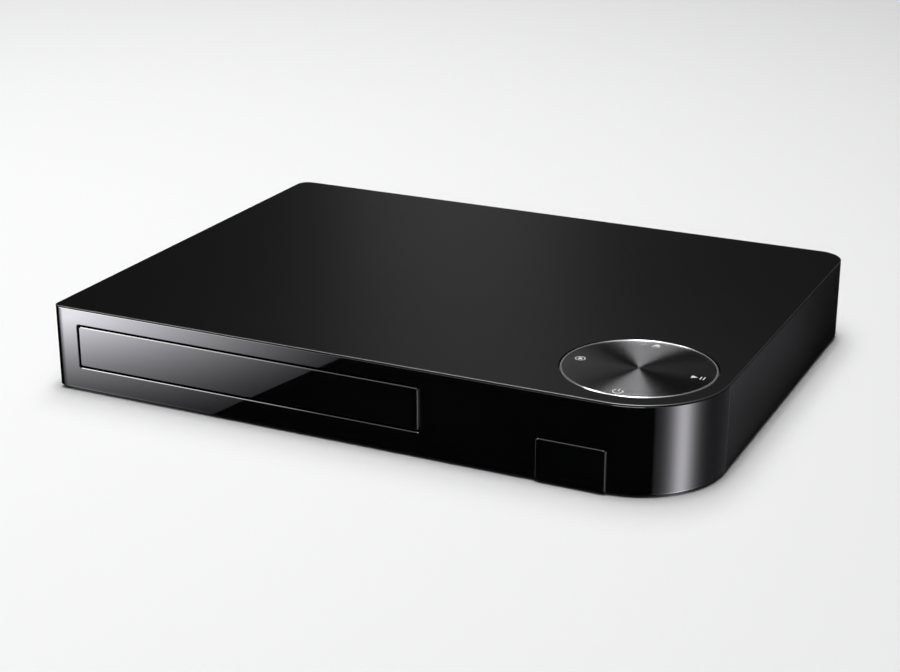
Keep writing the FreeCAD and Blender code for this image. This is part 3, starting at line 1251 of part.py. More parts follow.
for obj in doc.Objects:
    if "Invalid" in obj.State or "Error" in obj.State:
        raise RuntimeError("%s (%s) is in state %s" % (obj.Label, obj.Name, obj.State))
for label, obj in parts.items():
    if obj.Shape.isNull() or not obj.Shape.isValid():
        raise RuntimeError("%s has no valid shape" % label)

whole = None
for label, obj in parts.items():
    obj.Shape.exportStep("parts/%s.step" % label)
    box = obj.Shape.BoundBox
    whole = FreeCAD.BoundBox(box) if whole is None else whole.united(box)
    print("%-20s %3d solids %9.1f mm3" % (label, len(obj.Shape.Solids), obj.Shape.Volume))
print("pieces", len(parts), "box", whole)
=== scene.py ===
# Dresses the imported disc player: finishes for every piece, printed symbols, fine details, studio, camera.
import json
import math

import bmesh
import bpy
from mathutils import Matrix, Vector


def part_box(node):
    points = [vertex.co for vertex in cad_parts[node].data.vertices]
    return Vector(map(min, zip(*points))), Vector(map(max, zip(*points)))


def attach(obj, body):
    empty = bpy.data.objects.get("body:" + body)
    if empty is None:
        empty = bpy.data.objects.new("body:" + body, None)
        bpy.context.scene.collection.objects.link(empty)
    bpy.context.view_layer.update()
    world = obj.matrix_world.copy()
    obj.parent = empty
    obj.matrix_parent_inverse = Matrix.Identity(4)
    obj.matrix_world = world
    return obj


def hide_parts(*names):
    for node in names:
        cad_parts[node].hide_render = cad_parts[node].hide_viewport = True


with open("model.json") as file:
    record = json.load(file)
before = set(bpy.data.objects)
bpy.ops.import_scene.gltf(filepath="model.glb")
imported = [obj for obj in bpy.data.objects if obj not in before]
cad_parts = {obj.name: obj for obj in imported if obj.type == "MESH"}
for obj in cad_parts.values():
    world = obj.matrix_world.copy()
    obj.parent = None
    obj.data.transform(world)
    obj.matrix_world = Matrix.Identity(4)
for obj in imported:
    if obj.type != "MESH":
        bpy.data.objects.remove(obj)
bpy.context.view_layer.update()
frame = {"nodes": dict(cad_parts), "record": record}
nodes = frame["nodes"]
mm = 0.001
print("frame loaded:", len(nodes), "pieces")


# Materials

def startMaterial(name):
    material = bpy.data.materials.new(name)
    material.use_nodes = True
    tree = material.node_tree
    shader = tree.nodes["Principled BSDF"]
    return material, tree, shader


def addNode(tree, kind, **settings):
    node = tree.nodes.new(kind)
    for key, value in settings.items():
        if hasattr(node, key):
            setattr(node, key, value)
        else:
            node.inputs[key.replace("_", " ")].default_value = value
    return node


def objectPoint(tree, scale=(1, 1, 1)):
    coordinates = addNode(tree, "ShaderNodeTexCoord")
    mapping = addNode(tree, "ShaderNodeMapping")
    mapping.inputs["Scale"].default_value = scale
    tree.links.new(coordinates.outputs["Object"], mapping.inputs["Vector"])
    return mapping.outputs["Vector"]


def noise(tree, point, scale, detail, roughness=0.5):
    texture = addNode(tree, "ShaderNodeTexNoise", Scale=scale, Detail=detail, Roughness=roughness)
    tree.links.new(point, texture.inputs["Vector"])
    return texture.outputs["Fac"]


def spread(tree, value, low, high, fromLow=0.3, fromHigh=0.7):
    node = addNode(tree, "ShaderNodeMapRange")
    node.inputs["From Min"].default_value = fromLow
    node.inputs["From Max"].default_value = fromHigh
    node.inputs["To Min"].default_value = low
    node.inputs["To Max"].default_value = high
    tree.links.new(value, node.inputs["Value"])
    return node.outputs["Result"]


def blendColours(tree, value, first, second):
    ramp = addNode(tree, "ShaderNodeValToRGB")
    ramp.color_ramp.elements[0].color = (*first, 1)
    ramp.color_ramp.elements[1].color = (*second, 1)
    tree.links.new(value, ramp.inputs["Fac"])
    return ramp.outputs["Color"]


def bump(tree, shader, value, distance, strength):
    node = addNode(tree, "ShaderNodeBump", Strength=strength, Distance=distance)
    tree.links.new(value, node.inputs["Height"])
    tree.links.new(node.outputs["Normal"], shader.inputs["Normal"])


# Mask by how much the normal points along an object axis: 1 where that is full, 0 where it is none
def leaning(tree, axis, full, none):
    coordinates = addNode(tree, "ShaderNodeTexCoord")
    split = addNode(tree, "ShaderNodeSeparateXYZ")
    tree.links.new(coordinates.outputs["Normal"], split.inputs["Vector"])
    size = addNode(tree, "ShaderNodeMath", operation="ABSOLUTE")
    tree.links.new(split.outputs[axis], size.inputs[0])
    return spread(tree, size.outputs["Value"], 1.0, 0.0, full, none)


def blendValues(tree, share, first, second):
    return spread(tree, share, first, second, 0.0, 1.0)


def mixColours(tree, share, first, second):
    mixed = addNode(tree, "ShaderNodeMix", data_type="RGBA")
    tree.links.new(share, mixed.inputs["Factor"])
    for socket, colour in ((mixed.inputs[6], first), (mixed.inputs[7], second)):
        if isinstance(colour, tuple):
            socket.default_value = colour
        else:
            tree.links.new(colour, socket)
    return mixed.outputs[2]


def product(tree, first, second):
    node = addNode(tree, "ShaderNodeMath", operation="MULTIPLY")
    tree.links.new(first, node.inputs[0])
    tree.links.new(second, node.inputs[1])
    return node.outputs["Value"]


# Satin paint on the steel cover: even fine grain with a slow change in gloss, and a polished rolled edge
satinPaint = {
    "grain": 5200, "grainDetail": 3, "grainDepth": 0.000012, "relief": 0.6, "patch": 9, "patchDetail": 4,
    "darkest": (0.0012, 0.0012, 0.0014), "lightest": (0.0026, 0.0026, 0.0029),
    "roughLow": 0.33, "roughHigh": 0.35, "specular": 0.062,
    "edgeColour": (0.17, 0.17, 0.175, 1), "edgeFull": 0.93, "edgeNone": 0.995,
    "wallFull": 0.4, "wallNone": 0.15,
}


def makeSatinPaint():
    look = satinPaint
    material, tree, shader = startMaterial("satinBlackCover")
    point = objectPoint(tree)
    grain = noise(tree, point, look["grain"], look["grainDetail"])
    patch = noise(tree, point, look["patch"], look["patchDetail"])
    colour = blendColours(tree, grain, look["darkest"], look["lightest"])
    gloss = spread(tree, patch, look["roughLow"], look["roughHigh"])
    tree.links.new(gloss, shader.inputs["Roughness"])
    bump(tree, shader, grain, look["grainDepth"], look["relief"])
    edge = product(tree, leaning(tree, "Z", look["edgeFull"], look["edgeNone"]),
                   leaning(tree, "Z", look["wallFull"], look["wallNone"]))
    tree.links.new(mixColours(tree, edge, colour, look["edgeColour"]), shader.inputs["Base Color"])
    tree.links.new(edge, shader.inputs["Metallic"])
    shader.inputs["Specular IOR Level"].default_value = look["specular"]
    return material


# Mirror gloss plastic: a hard coat over black with the slightest swell and wipe marks. Trim that is given an
# edge colour
# has a painted highlight on its bevels: they are painted lighter where they turn from the front, most of all
# on the upright ones
mirrorPlastic = {
    "swell": 38, "swellDetail": 1, "swellDepth": 0.00002, "relief": 0.25,
    "wipe": 60, "wipeDetail": 6, "wipeStretch": (1, 1, 5),
    "colour": (0.0028, 0.0028, 0.003, 1), "roughLow": 0.018, "roughHigh": 0.045,
    "specular": 0.5, "coat": 1.0, "coatRough": 0.02,
    # Painted highlight colours for the trim's bevels: the first on the top and bottom bevels, the lighter
    # second one on the upright bevels
    "edge": (0.012, 0.012, 0.013), "uprightBevelHighlight": (0.2, 0.2, 0.206),
    "frontFull": 0.8, "frontNone": 0.95, "sideFull": 0.3, "sideNone": 0.6,
}


def makeMirrorPlastic(name, edgeColour=None):
    look = mirrorPlastic
    material, tree, shader = startMaterial(name)
    point = objectPoint(tree)
    wipe = noise(tree, objectPoint(tree, look["wipeStretch"]), look["wipe"], look["wipeDetail"])
    swell = noise(tree, point, look["swell"], look["swellDetail"])
    tree.links.new(spread(tree, wipe, look["roughLow"], look["roughHigh"]), shader.inputs["Roughness"])
    shader.inputs["Base Color"].default_value = look["colour"]
    shader.inputs["Specular IOR Level"].default_value = look["specular"]
    shader.inputs["Coat Weight"].default_value = look["coat"]
    shader.inputs["Coat Roughness"].default_value = look["coatRough"]
    bump(tree, shader, swell, look["swellDepth"], look["relief"])
    # Painted highlight: bevels that turn from the front get a lighter base colour in place of the black,
    # lightest on the upright bevels
    if edgeColour is not None:
        edge = leaning(tree, "Y", look["frontFull"], look["frontNone"])
        side = leaning(tree, "Z", look["sideFull"], look["sideNone"])
        edges = blendColours(tree, side, edgeColour, look["uprightBevelHighlight"])
        tree.links.new(mixColours(tree, edge, look["colour"], edges), shader.inputs["Base Color"])
    return material


# Moulded plastics, rubbers and films, each with its own grain in gloss and relief and a slow change of shade
mouldedGrain = {"detail": 4, "harshness": 0.6, "relief": 0.7, "cloud": 30, "cloudDetail": 3, "darker": 0.86,
                "lighter": 1.12, "roughSpan": 0.05}
mouldedPlastics = {
    "sparkTexturedCase": {"grain": 2400, "depth": 0.00006, "colour": (0.01, 0.01, 0.011), "rough": 0.58,
                          "specular": 0.42},
    "trayPlastic": {"grain": 3600, "depth": 0.00003, "colour": (0.02, 0.02, 0.021), "rough": 0.46,
                    "specular": 0.45},
    "framePlastic": {"grain": 3000, "depth": 0.00004, "colour": (0.03, 0.03, 0.031), "rough": 0.52,
                     "specular": 0.45},
    "whiteAcetal": {"grain": 2600, "depth": 0.00001, "colour": (0.74, 0.73, 0.69), "rough": 0.36,
                    "specular": 0.5},
    "lensPlastic": {"grain": 4200, "depth": 0.00001, "colour": (0.05, 0.05, 0.055), "rough": 0.4,
                    "specular": 0.5},
    "epoxyBlack": {"grain": 5200, "depth": 0.000012, "colour": (0.022, 0.022, 0.024), "rough": 0.34,
                   "specular": 0.5},
    "ribbonFilm": {"grain": 900, "depth": 0.00002, "colour": (0.72, 0.72, 0.7), "rough": 0.42,
                   "specular": 0.5},
    "footRubber": {"grain": 1900, "depth": 0.00008, "colour": (0.024, 0.024, 0.024), "rough": 0.78,
                   "specular": 0.3},
    "beltRubber": {"grain": 1500, "depth": 0.00004, "colour": (0.018, 0.018, 0.018), "rough": 0.7,
                   "specular": 0.3},
    "leadSleeve": {"grain": 1200, "depth": 0.00002, "colour": (0.34, 0.03, 0.028), "rough": 0.42,
                   "specular": 0.5},
}


def makeMoulded(name, look):
    material, tree, shader = startMaterial(name)
    point = objectPoint(tree)
    grain = noise(tree, point, look["grain"], mouldedGrain["detail"], mouldedGrain["harshness"])
    cloud = noise(tree, point, mouldedGrain["cloud"], mouldedGrain["cloudDetail"])
    dark = tuple(c * mouldedGrain["darker"] for c in look["colour"])
    light = tuple(min(1, c * mouldedGrain["lighter"]) for c in look["colour"])
    tree.links.new(blendColours(tree, cloud, dark, light), shader.inputs["Base Color"])
    span = mouldedGrain["roughSpan"]
    gloss = spread(tree, grain, look["rough"] - span, look["rough"] + span)
    tree.links.new(gloss, shader.inputs["Roughness"])
    shader.inputs["Specular IOR Level"].default_value = look["specular"]
    bump(tree, shader, grain, look["depth"], mouldedGrain["relief"])
    return material


# Metal brushed in circles, with a bright polished rim
spunLook = {
    "rim": 27.7 * mm, "rimSoft": 0.02 * mm, "rimColour": (0.88, 0.88, 0.89), "rimMetallic": 0.85,
    "rings": 5200, "ringDetail": 3, "harshness": 0.7, "ringDepth": 0.000006, "relief": 0.35,
    "dark": (0.066, 0.066, 0.068), "light": (0.094, 0.094, 0.097),
    "roughLow": 0.2, "roughHigh": 0.22, "anisotropic": 1.0, "rotation": 0.25,
}


def makeSpunMetal(centre):
    look = spunLook
    material, tree, shader = startMaterial("spunControlMetal")
    coordinates = addNode(tree, "ShaderNodeTexCoord")
    shift = addNode(tree, "ShaderNodeVectorMath", operation="SUBTRACT")
    shift.inputs[1].default_value = (centre.x, centre.y, 0)
    tree.links.new(coordinates.outputs["Object"], shift.inputs[0])
    flat = addNode(tree, "ShaderNodeVectorMath", operation="MULTIPLY")
    flat.inputs[1].default_value = (1, 1, 0)
    tree.links.new(shift.outputs["Vector"], flat.inputs[0])
    length = addNode(tree, "ShaderNodeVectorMath", operation="LENGTH")
    tree.links.new(flat.outputs["Vector"], length.inputs[0])
    ringLine = addNode(tree, "ShaderNodeCombineXYZ")
    tree.links.new(length.outputs["Value"], ringLine.inputs["X"])
    rings = noise(tree, ringLine.outputs["Vector"], look["rings"], look["ringDetail"], look["harshness"])
    face = blendColours(tree, rings, look["dark"], look["light"])
    rim = spread(tree, length.outputs["Value"], 0.0, 1.0, look["rim"] - look["rimSoft"],
                 look["rim"] + look["rimSoft"])
    tree.links.new(mixColours(tree, rim, face, (*look["rimColour"], 1)), shader.inputs["Base Color"])
    tree.links.new(spread(tree, rings, look["roughLow"], look["roughHigh"]), shader.inputs["Roughness"])
    tree.links.new(blendValues(tree, rim, 1.0, look["rimMetallic"]), shader.inputs["Metallic"])
    tree.links.new(blendValues(tree, rim, look["anisotropic"], 0.0), shader.inputs["Anisotropic"])
    tangent = addNode(tree, "ShaderNodeTangent", direction_type="RADIAL", axis="Z")
    tree.links.new(tangent.outputs["Tangent"], shader.inputs["Tangent"])
    shader.inputs["Anisotropic Rotation"].default_value = look["rotation"]
    bump(tree, shader, rings, look["ringDepth"], look["relief"])
    return material


# Other metals, with a grain that can be stretched along an axis
metalGrain = {"detail": 5, "darker": 0.84, "roughSpan": 0.07, "depth": 0.00002, "relief": 0.3}
metals = {
    "zincPlate": {"colour": (0.56, 0.57, 0.58), "rough": 0.28, "grain": 240, "stretch": (1, 1, 9)},
    "castAlloy": {"colour": (0.46, 0.47, 0.48), "rough": 0.46, "grain": 900, "stretch": (1, 1, 1)},
    "goldContact": {"colour": (0.82, 0.6, 0.24), "rough": 0.22, "grain": 600, "stretch": (1, 6, 1)},
}


def makeMetal(name, look):
    material, tree, shader = startMaterial(name)
    grain = noise(tree, objectPoint(tree, look["stretch"]), look["grain"], metalGrain["detail"])
    dark = tuple(c * metalGrain["darker"] for c in look["colour"])
    tree.links.new(blendColours(tree, grain, dark, look["colour"]), shader.inputs["Base Color"])
    span = metalGrain["roughSpan"]
    gloss = spread(tree, grain, look["rough"] - span, look["rough"] + span)
    tree.links.new(gloss, shader.inputs["Roughness"])
    shader.inputs["Metallic"].default_value = 1.0
    bump(tree, shader, grain, metalGrain["depth"], metalGrain["relief"])
    return material


# Solder mask over woven board: a faint weave with copper tracks showing through as lighter bands
boardLook = {"mask": (0.012, 0.085, 0.035), "track": (0.02, 0.13, 0.05), "tracks": 160, "trackWidth": 0.12,
             "weave": 900, "weaveDetail": 2, "depth": 0.00003, "relief": 0.5, "roughLow": 0.26,
             "roughHigh": 0.36}


def makeBoard():
    look = boardLook
    material, tree, shader = startMaterial("greenBoard")
    point = objectPoint(tree)
    brick = addNode(tree, "ShaderNodeTexBrick", Scale=look["tracks"], Mortar_Size=look["trackWidth"])
    brick.inputs["Color1"].default_value = (*look["mask"], 1)
    brick.inputs["Color2"].default_value = (*look["mask"], 1)
    brick.inputs["Mortar"].default_value = (*look["track"], 1)
    tree.links.new(point, brick.inputs["Vector"])
    tree.links.new(brick.outputs["Color"], shader.inputs["Base Color"])
    weave = noise(tree, point, look["weave"], look["weaveDetail"])
    tree.links.new(spread(tree, weave, look["roughLow"], look["roughHigh"]), shader.inputs["Roughness"])
    bump(tree, shader, weave, look["depth"], look["relief"])
    return material


# Yellow tape wound round the transformer
tapeLook = {"wraps": 260, "wobble": 0.8, "dark": (0.5, 0.36, 0.04), "light": (0.72, 0.55, 0.09),
            "roughLow": 0.3, "roughHigh": 0.42, "depth": 0.00005, "relief": 0.6}


def makeTape():
    look = tapeLook
    material, tree, shader = startMaterial("yellowTape")
    wrap = addNode(tree, "ShaderNodeTexWave", bands_direction="Z", Scale=look["wraps"],
                   Distortion=look["wobble"])
    tree.links.new(objectPoint(tree), wrap.inputs["Vector"])
    bands = wrap.outputs["Fac"]
    tree.links.new(blendColours(tree, bands, look["dark"], look["light"]), shader.inputs["Base Color"])
    tree.links.new(blendValues(tree, bands, look["roughLow"], look["roughHigh"]), shader.inputs["Roughness"])
    bump(tree, shader, bands, look["depth"], look["relief"])
    return material


# Coated glass of the pickup's lens
lensLook = {"blend": 0.4, "facing": (0.25, 0.3, 0.75), "slanting": (0.55, 0.3, 0.7), "rough": 0.02,
            "clear": 0.7, "index": 1.52, "coat": 1.0}


def makeLensGlass():
    look = lensLook
    material, tree, shader = startMaterial("coatedLens")
    facing = addNode(tree, "ShaderNodeLayerWeight", Blend=look["blend"])
    tree.links.new(blendColours(tree, facing.outputs["Facing"], look["facing"], look["slanting"]),
                   shader.inputs["Base Color"])
    shader.inputs["Roughness"].default_value = look["rough"]
    shader.inputs["Transmission Weight"].default_value = look["clear"]
    shader.inputs["IOR"].default_value = look["index"]
    shader.inputs["Coat Weight"].default_value = look["coat"]
    return material


inkLook = {"grain": 5200, "detail": 3, "dark": (0.62, 0.62, 0.63), "light": (0.78, 0.78, 0.79), "rough": 0.5}


def makeSymbolInk():
    look = inkLook
    material, tree, shader = startMaterial("whiteSymbolInk")
    grain = noise(tree, objectPoint(tree), look["grain"], look["detail"])
    tree.links.new(blendColours(tree, grain, look["dark"], look["light"]), shader.inputs["Base Color"])
    shader.inputs["Roughness"].default_value = look["rough"]
    return material


discLow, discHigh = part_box("control_disc")
discCentre = (discLow + discHigh) / 2
finishes = {
    "satin_cover": makeSatinPaint(),
    "gloss_black": makeMirrorPlastic("mirrorBlackPanel"),
    "spun_metal": makeSpunMetal(discCentre),
    "plated_steel": makeMetal("zincPlate", metals["zincPlate"]),
    "pickup_metal": makeMetal("castAlloy", metals["castAlloy"]),
    "board_green": makeBoard(),
    "transformer_core": makeTape(),
    "lens_glass": makeLensGlass(),
}
mouldedSlots = {
    "textured_black": "sparkTexturedCase", "foot_rubber": "footRubber", "tray_plastic": "trayPlastic",
    "frame_plastic": "framePlastic", "white_plastic": "whiteAcetal", "belt_rubber": "beltRubber",
    "lens_plastic": "lensPlastic", "component_black": "epoxyBlack", "ribbon_film": "ribbonFilm",
    "lead_sleeve": "leadSleeve",
}
for slotName, lookName in mouldedSlots.items():
    finishes[slotName] = makeMoulded(lookName, mouldedPlastics[lookName])
for part in frame["record"]["subparts"]:
    mesh = nodes[part["node"]].data
    mesh.materials.clear()
    mesh.materials.append(finishes[part["material_slot"]])
# The tray door and the port flap take the trim whose bevels carry the painted highlight
trimWithPaintedBevelHighlight = makeMirrorPlastic("mirrorBlackTrimPaintedHighlight", mirrorPlastic["edge"])
for trimName in ("tray_door", "port_flap"):
    nodes[trimName].data.materials[0] = trimWithPaintedBevelHighlight
symbolInk = makeSymbolInk()
goldContact = makeMetal("goldContact", metals["goldContact"])
print("finishes set:", len(finishes))


# Mesh helpers

def placePiece(name, mesh, material, body):
    piece = bpy.data.objects.new(name, mesh)
    bpy.context.collection.objects.link(piece)
    mesh.materials.append(material)
    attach(piece, body)
    return piece


# Flat outlines raised into thin prisms, all in one mesh
def raiseOutlines(outlines, low, high):
    mesh = bpy.data.meshes.new("outlines")
    shape = bmesh.new()
    for outline in outlines:
        under = [shape.verts.new((x, y, low)) for x, y in outline]
        over = [shape.verts.new((x, y, high)) for x, y in outline]
        shape.faces.new(list(reversed(under)))
        shape.faces.new(over)
        count = len(outline)
        for i in range(count):
            j = (i + 1) % count
            shape.faces.new((under[i], under[j], over[j], over[i]))
    bmesh.ops.recalc_face_normals(shape, faces=shape.faces)
    shape.to_mesh(mesh)
    shape.free()
    return mesh


# Printed symbols on the control disc: open at the rear, play and pause at the right,
# power at the front and stop at the left, each placed from the disc's centre
symbols = {
    "size": 3.7 * mm, "line": 0.42 * mm, "ink": 0.02 * mm, "sunk": 0.01 * mm, "dish": 0.3 * mm,
    "open": (-1.7 * mm, 23.9 * mm), "play": (22.3 * mm, 0.1 * mm), "power": (1.0 * mm, -24.1 * mm),
    "stop": (-22.5 * mm, -0.2 * mm),
}
# Forms of the symbols as shares of their size. Thin is a share of the line, and half the power ring's gap is
# in degrees
symbolForms = {
    "openHalf": 0.45, "openFoot": 0.16, "openTip": 0.42, "openBar": 0.36, "playBack": 0.7, "playTip": 0.08,
    "playHalf": 0.36, "pauseNear": 0.24, "pauseFar": 0.56, "ring": 0.48, "powerStroke": 0.56,
    "powerLift": 0.34, "stopSquare": 0.4, "thin": 0.8, "powerGap": 38,
}


def bar(width, height, x=0.0, y=0.0):
    return [(x - width / 2, y - height / 2), (x + width / 2, y - height / 2),
            (x + width / 2, y + height / 2), (x - width / 2, y + height / 2)]


def arcBand(radius, line, start, end, steps=24):
    angles = [start + (end - start) * i / steps for i in range(steps + 1)]
    outer = [((radius + line / 2) * math.cos(a), (radius + line / 2) * math.sin(a)) for a in angles]
    inner = [((radius - line / 2) * math.cos(a), (radius - line / 2) * math.sin(a)) for a in reversed(angles)]
    return outer + inner


def drawSigns():
    size, line, form = symbols["size"], symbols["line"], symbolForms
    thin, ring = line * form["thin"], size * form["ring"]
    half, foot = size * form["openHalf"], -size * form["openFoot"]
    back, tall = -size * form["playBack"], size * form["playHalf"]
    gap = math.radians(form["powerGap"])
    return {
        "open": [[(-half, foot), (half, foot), (0, size * form["openTip"])],
                 bar(half * 2, thin, 0, -size * form["openBar"])],
        "play": [[(back, -tall), (-size * form["playTip"], 0), (back, tall)],
                 bar(line, tall * 2, size * form["pauseNear"]), bar(line, tall * 2, size * form["pauseFar"])],
        "power": [arcBand(ring, line, math.pi / 2 + gap, math.pi * 2.5 - gap),
                  bar(line, size * form["powerStroke"], 0, size * form["powerLift"])],
        "stop": [arcBand(ring, thin, 0, math.pi), arcBand(ring, thin, math.pi, 2 * math.pi),
                 bar(size * form["stopSquare"], size * form["stopSquare"])],
    }


def makeSymbols():
    top = discHigh.z - symbols["dish"]
    for name, sign in drawSigns().items():
        x, y = discCentre.x + symbols[name][0], discCentre.y + symbols[name][1]
        outlines = [[(x + across, y + along) for across, along in outline] for outline in sign]
        mesh = raiseOutlines(outlines, top - symbols["sunk"], top + symbols["ink"])
        placePiece("symbol" + name.capitalize(), mesh, symbolInk, "control")


makeSymbols()
print("symbols placed")


# Fine details. Their places and sizes, and all further ones down to the camera, are in millimetres in the
# case's own frame, as in the part's source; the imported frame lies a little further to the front
caseHalfDepth = 98.5
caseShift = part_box("top_cover")[0].y + caseHalfDepth * mm
meshLook = {"sharpAngle": 35, "bevelSteps": 2, "bevelProfile": 0.6, "weld": 0.001}


def inCase(x, y, z):
    return (x * mm, y * mm + caseShift, z * mm)


def keepMesh(name, shape):
    mesh = bpy.data.meshes.new(name)
    bmesh.ops.recalc_face_normals(shape, faces=shape.faces)
    shape.to_mesh(mesh)
    shape.free()
    return mesh


def smoothed(mesh, angle=meshLook["sharpAngle"]):
    mesh.shade_smooth()
    mesh.set_sharp_from_angle(angle=math.radians(angle))
    return mesh


def skinRings(shape, rings):
    for under, over in zip(rings, rings[1:]):
        for i in range(len(under)):
            j = (i + 1) % len(under)
            shape.faces.new((under[i], under[j], over[j], over[i]))


# Small bevelled blocks in one mesh, each given by its low and high corners
def blockMesh(name, blocks, bevel):
    shape = bmesh.new()
    for low, high in blocks:
        made = bmesh.ops.create_cube(shape, size=1)["verts"]
        for vert in made:
            share = vert.co + Vector((0.5, 0.5, 0.5))
            vert.co = inCase(*(low[i] + (high[i] - low[i]) * share[i] for i in range(3)))
    bmesh.ops.bevel(shape, geom=list(shape.edges), offset=bevel * mm, segments=meshLook["bevelSteps"],
                    profile=meshLook["bevelProfile"], affect="EDGES")
    return smoothed(keepMesh(name, shape))


# A turned form in one mesh: the outline gives radius and height pairs, spun about an upright line, or about
# one that runs to the rear where the axis is Y
def turnedMesh(name, outline, places, axis="Z", steps=32):
    shape = bmesh.new()
    for place in places:
        rings = []
        for radius, along in outline:
            ring = []
            for i in range(steps):
                angle = 2 * math.pi * i / steps
                a, b = radius * math.cos(angle), radius * math.sin(angle)
                spot = (a, b, along) if axis == "Z" else (a, along, -b)
                ring.append(shape.verts.new(inCase(*(place[k] + spot[k] for k in range(3)))))
            rings.append(ring)
        skinRings(shape, rings)
        if outline[0] != outline[-1]:
            shape.faces.new(rings[0])
            shape.faces.new(rings[-1])
    bmesh.ops.remove_doubles(shape, verts=shape.verts, dist=meshLook["weld"] * mm)
    return smoothed(keepMesh(name, shape))


# Pan head with a cross recess and a rolled thread. The crown is given in shares of the head's radius and
# height, and a kind that flips turns its head to face down
screwLook = {
    "cross": 0.55, "slot": 0.16, "depth": 0.55, "floor": 0.6, "neck": 0.9, "pitch": 0.8, "threadDepth": 0.18,
    "steps": 32, "sharpAngle": 30,
    "crown": [(1.0, -1.0), (1.0, -0.45), (0.93, -0.16), (0.78, -0.03), (0.66, 0.0)],
}


def screwOutline(kind):
    look = screwLook
    radius = kind["shankRadius"]
    outline = []
    for k in range(int(kind["shankLength"] / look["pitch"])):
        z = -kind["headHeight"] - kind["shankLength"] + (k + 0.5) * look["pitch"]
        outline += [(radius * (1 - look["threadDepth"]), z), (radius, z + look["pitch"] * 0.5)]
    outline.append((radius * look["neck"], -kind["headHeight"]))
    return outline + [(kind["headRadius"] * r, kind["headHeight"] * h) for r, h in look["crown"]]


def screwMesh(name, kind):
    look = screwLook
    shape = bmesh.new()
    steps = look["steps"]
    sign = -1 if kind["flip"] else 1
    arm, half = look["cross"] * kind["headRadius"], look["slot"] * kind["headRadius"]
    cross, quarter = [], [(half, half), (half, arm), (-half, arm)]
    for _ in range(4):
        cross += quarter
        quarter = [(-y, x) for x, y in quarter]

    def at(place, x, y, z):
        return shape.verts.new(inCase(place[0] + x, place[1] + y, kind["level"] + sign * z))

    for place in kind["places"]:
        rings = [[at(place, r * math.cos(2 * math.pi * i / steps), r * math.sin(2 * math.pi * i / steps), z)
                  for i in range(steps)] for r, z in screwOutline(kind)]
        skinRings(shape, rings)
        shape.faces.new(rings[0])
        mouth = [at(place, x, y, 0) for x, y in cross]
        floor = [at(place, x * look["floor"], y * look["floor"], -look["depth"] * kind["headHeight"])
                 for x, y in cross]
        for i in range(len(cross)):
            j = (i + 1) % len(cross)
            shape.faces.new((mouth[i], mouth[j], floor[j], floor[i]))
        shape.faces.new(floor)
        edges = [shape.edges.get((ring[i], ring[(i + 1) % len(ring)])) for ring in (rings[-1], mouth)
                 for i in range(len(ring))]
        bmesh.ops.triangle_fill(shape, use_beauty=True, edges=edges)
    return smoothed(keepMesh(name, shape), look["sharpAngle"])


# Thread of the pickup's lead screw: the radius follows the turn along its length
leadLook = {
    "x": -16.6, "z": 12.6, "start": -11.0, "length": 48.2, "radius": 1.3, "root": 0.98, "pitch": 3.0,
    "grooveHalf": 0.3, "journal": 0.7, "journalStart": -11.6, "journalEnd": 48.4, "steps": 20, "perTurn": 14,
    "sharpAngle": 40,
}


def leadScrewMesh():
    look = leadLook
    shape = bmesh.new()
    count = int(look["length"] / look["pitch"] * look["perTurn"])
    stations = [(look["journalStart"], False), (look["start"], False)]
    stations += [(look["start"] + look["length"] * i / count, True) for i in range(count + 1)]
    stations += [(look["start"] + look["length"], False), (look["journalEnd"], False)]
    rings = []
    for y, threaded in stations:
        ring = []
        for i in range(look["steps"]):
            turn = i / look["steps"]
            phase = (y / look["pitch"] + turn) % 1.0
            groove = max(0.0, 1 - abs(phase - 0.5) / look["grooveHalf"])
            radius = look["journal"]
            if threaded:
                radius = look["radius"] - (look["radius"] - look["root"]) * groove
            angle = 2 * math.pi * turn
            ring.append(shape.verts.new(inCase(look["x"] + radius * math.cos(angle), y,
                                               look["z"] + radius * math.sin(angle))))
        rings.append(ring)
    skinRings(shape, rings)
    shape.faces.new(rings[0])
    shape.faces.new(rings[-1])
    return smoothed(keepMesh("leadScrewThread", shape), look["sharpAngle"])


# Row of blocks repeated along x
def rowOf(count, pitch, middle, width, yLow, yHigh, zLow, zHigh):
    starts = [middle + (i - (count - 1) / 2) * pitch for i in range(count)]
    return [((x - width / 2, yLow, zLow), (x + width / 2, yHigh, zHigh)) for x in starts]


boardTop = 9.6
# How far a detail stands over the plain solid that it covers
grown = 0.06


def addBlocks(name, blocks, bevel, slotName, material=None):
    placePiece(name, blockMesh(name, blocks, bevel), material or finishes[slotName], "case")


# Chips by their corners and height, and their legs by reach from the chip's side and height over the board
chips = [((54, 50), (66, 60), 1.2), ((100, 0), (112, 9), 1.2), ((102, 36), (118, 54), 2.0)]
chipLook = {"bevel": 0.15, "margin": 1, "pitch": 0.8, "legWidth": 0.35, "legBevel": 0.03}
legParts = {"foot": (0.5, 1.3, 0.0, 0.16), "neck": (0.0, 0.6, 0.4, 0.56), "bend": (0.45, 0.62, 0.02, 0.55)}


def makeChips():
    bodies = [((x0 - grown, y0 - grown, boardTop), (x1 + grown, y1 + grown, boardTop + height + grown))
              for (x0, y0), (x1, y1), height in chips]
    addBlocks("boardChips", bodies, chipLook["bevel"], "component_black")
    legs, pitch, width = [], chipLook["pitch"], chipLook["legWidth"]
    for (x0, y0), (x1, y1), _ in chips:
        middle, count = (x0 + x1) / 2, int((x1 - x0 - chipLook["margin"]) / pitch)
        for edge, out in ((y0, -1), (y1, 1)):
            for near, far, low, high in legParts.values():
                ends = sorted((edge + out * near, edge + out * far))
                legs += rowOf(count, pitch, middle, width, *ends, boardTop + low, boardTop + high)
    addBlocks("chipLegs", legs, chipLook["legBevel"], "plated_steel")


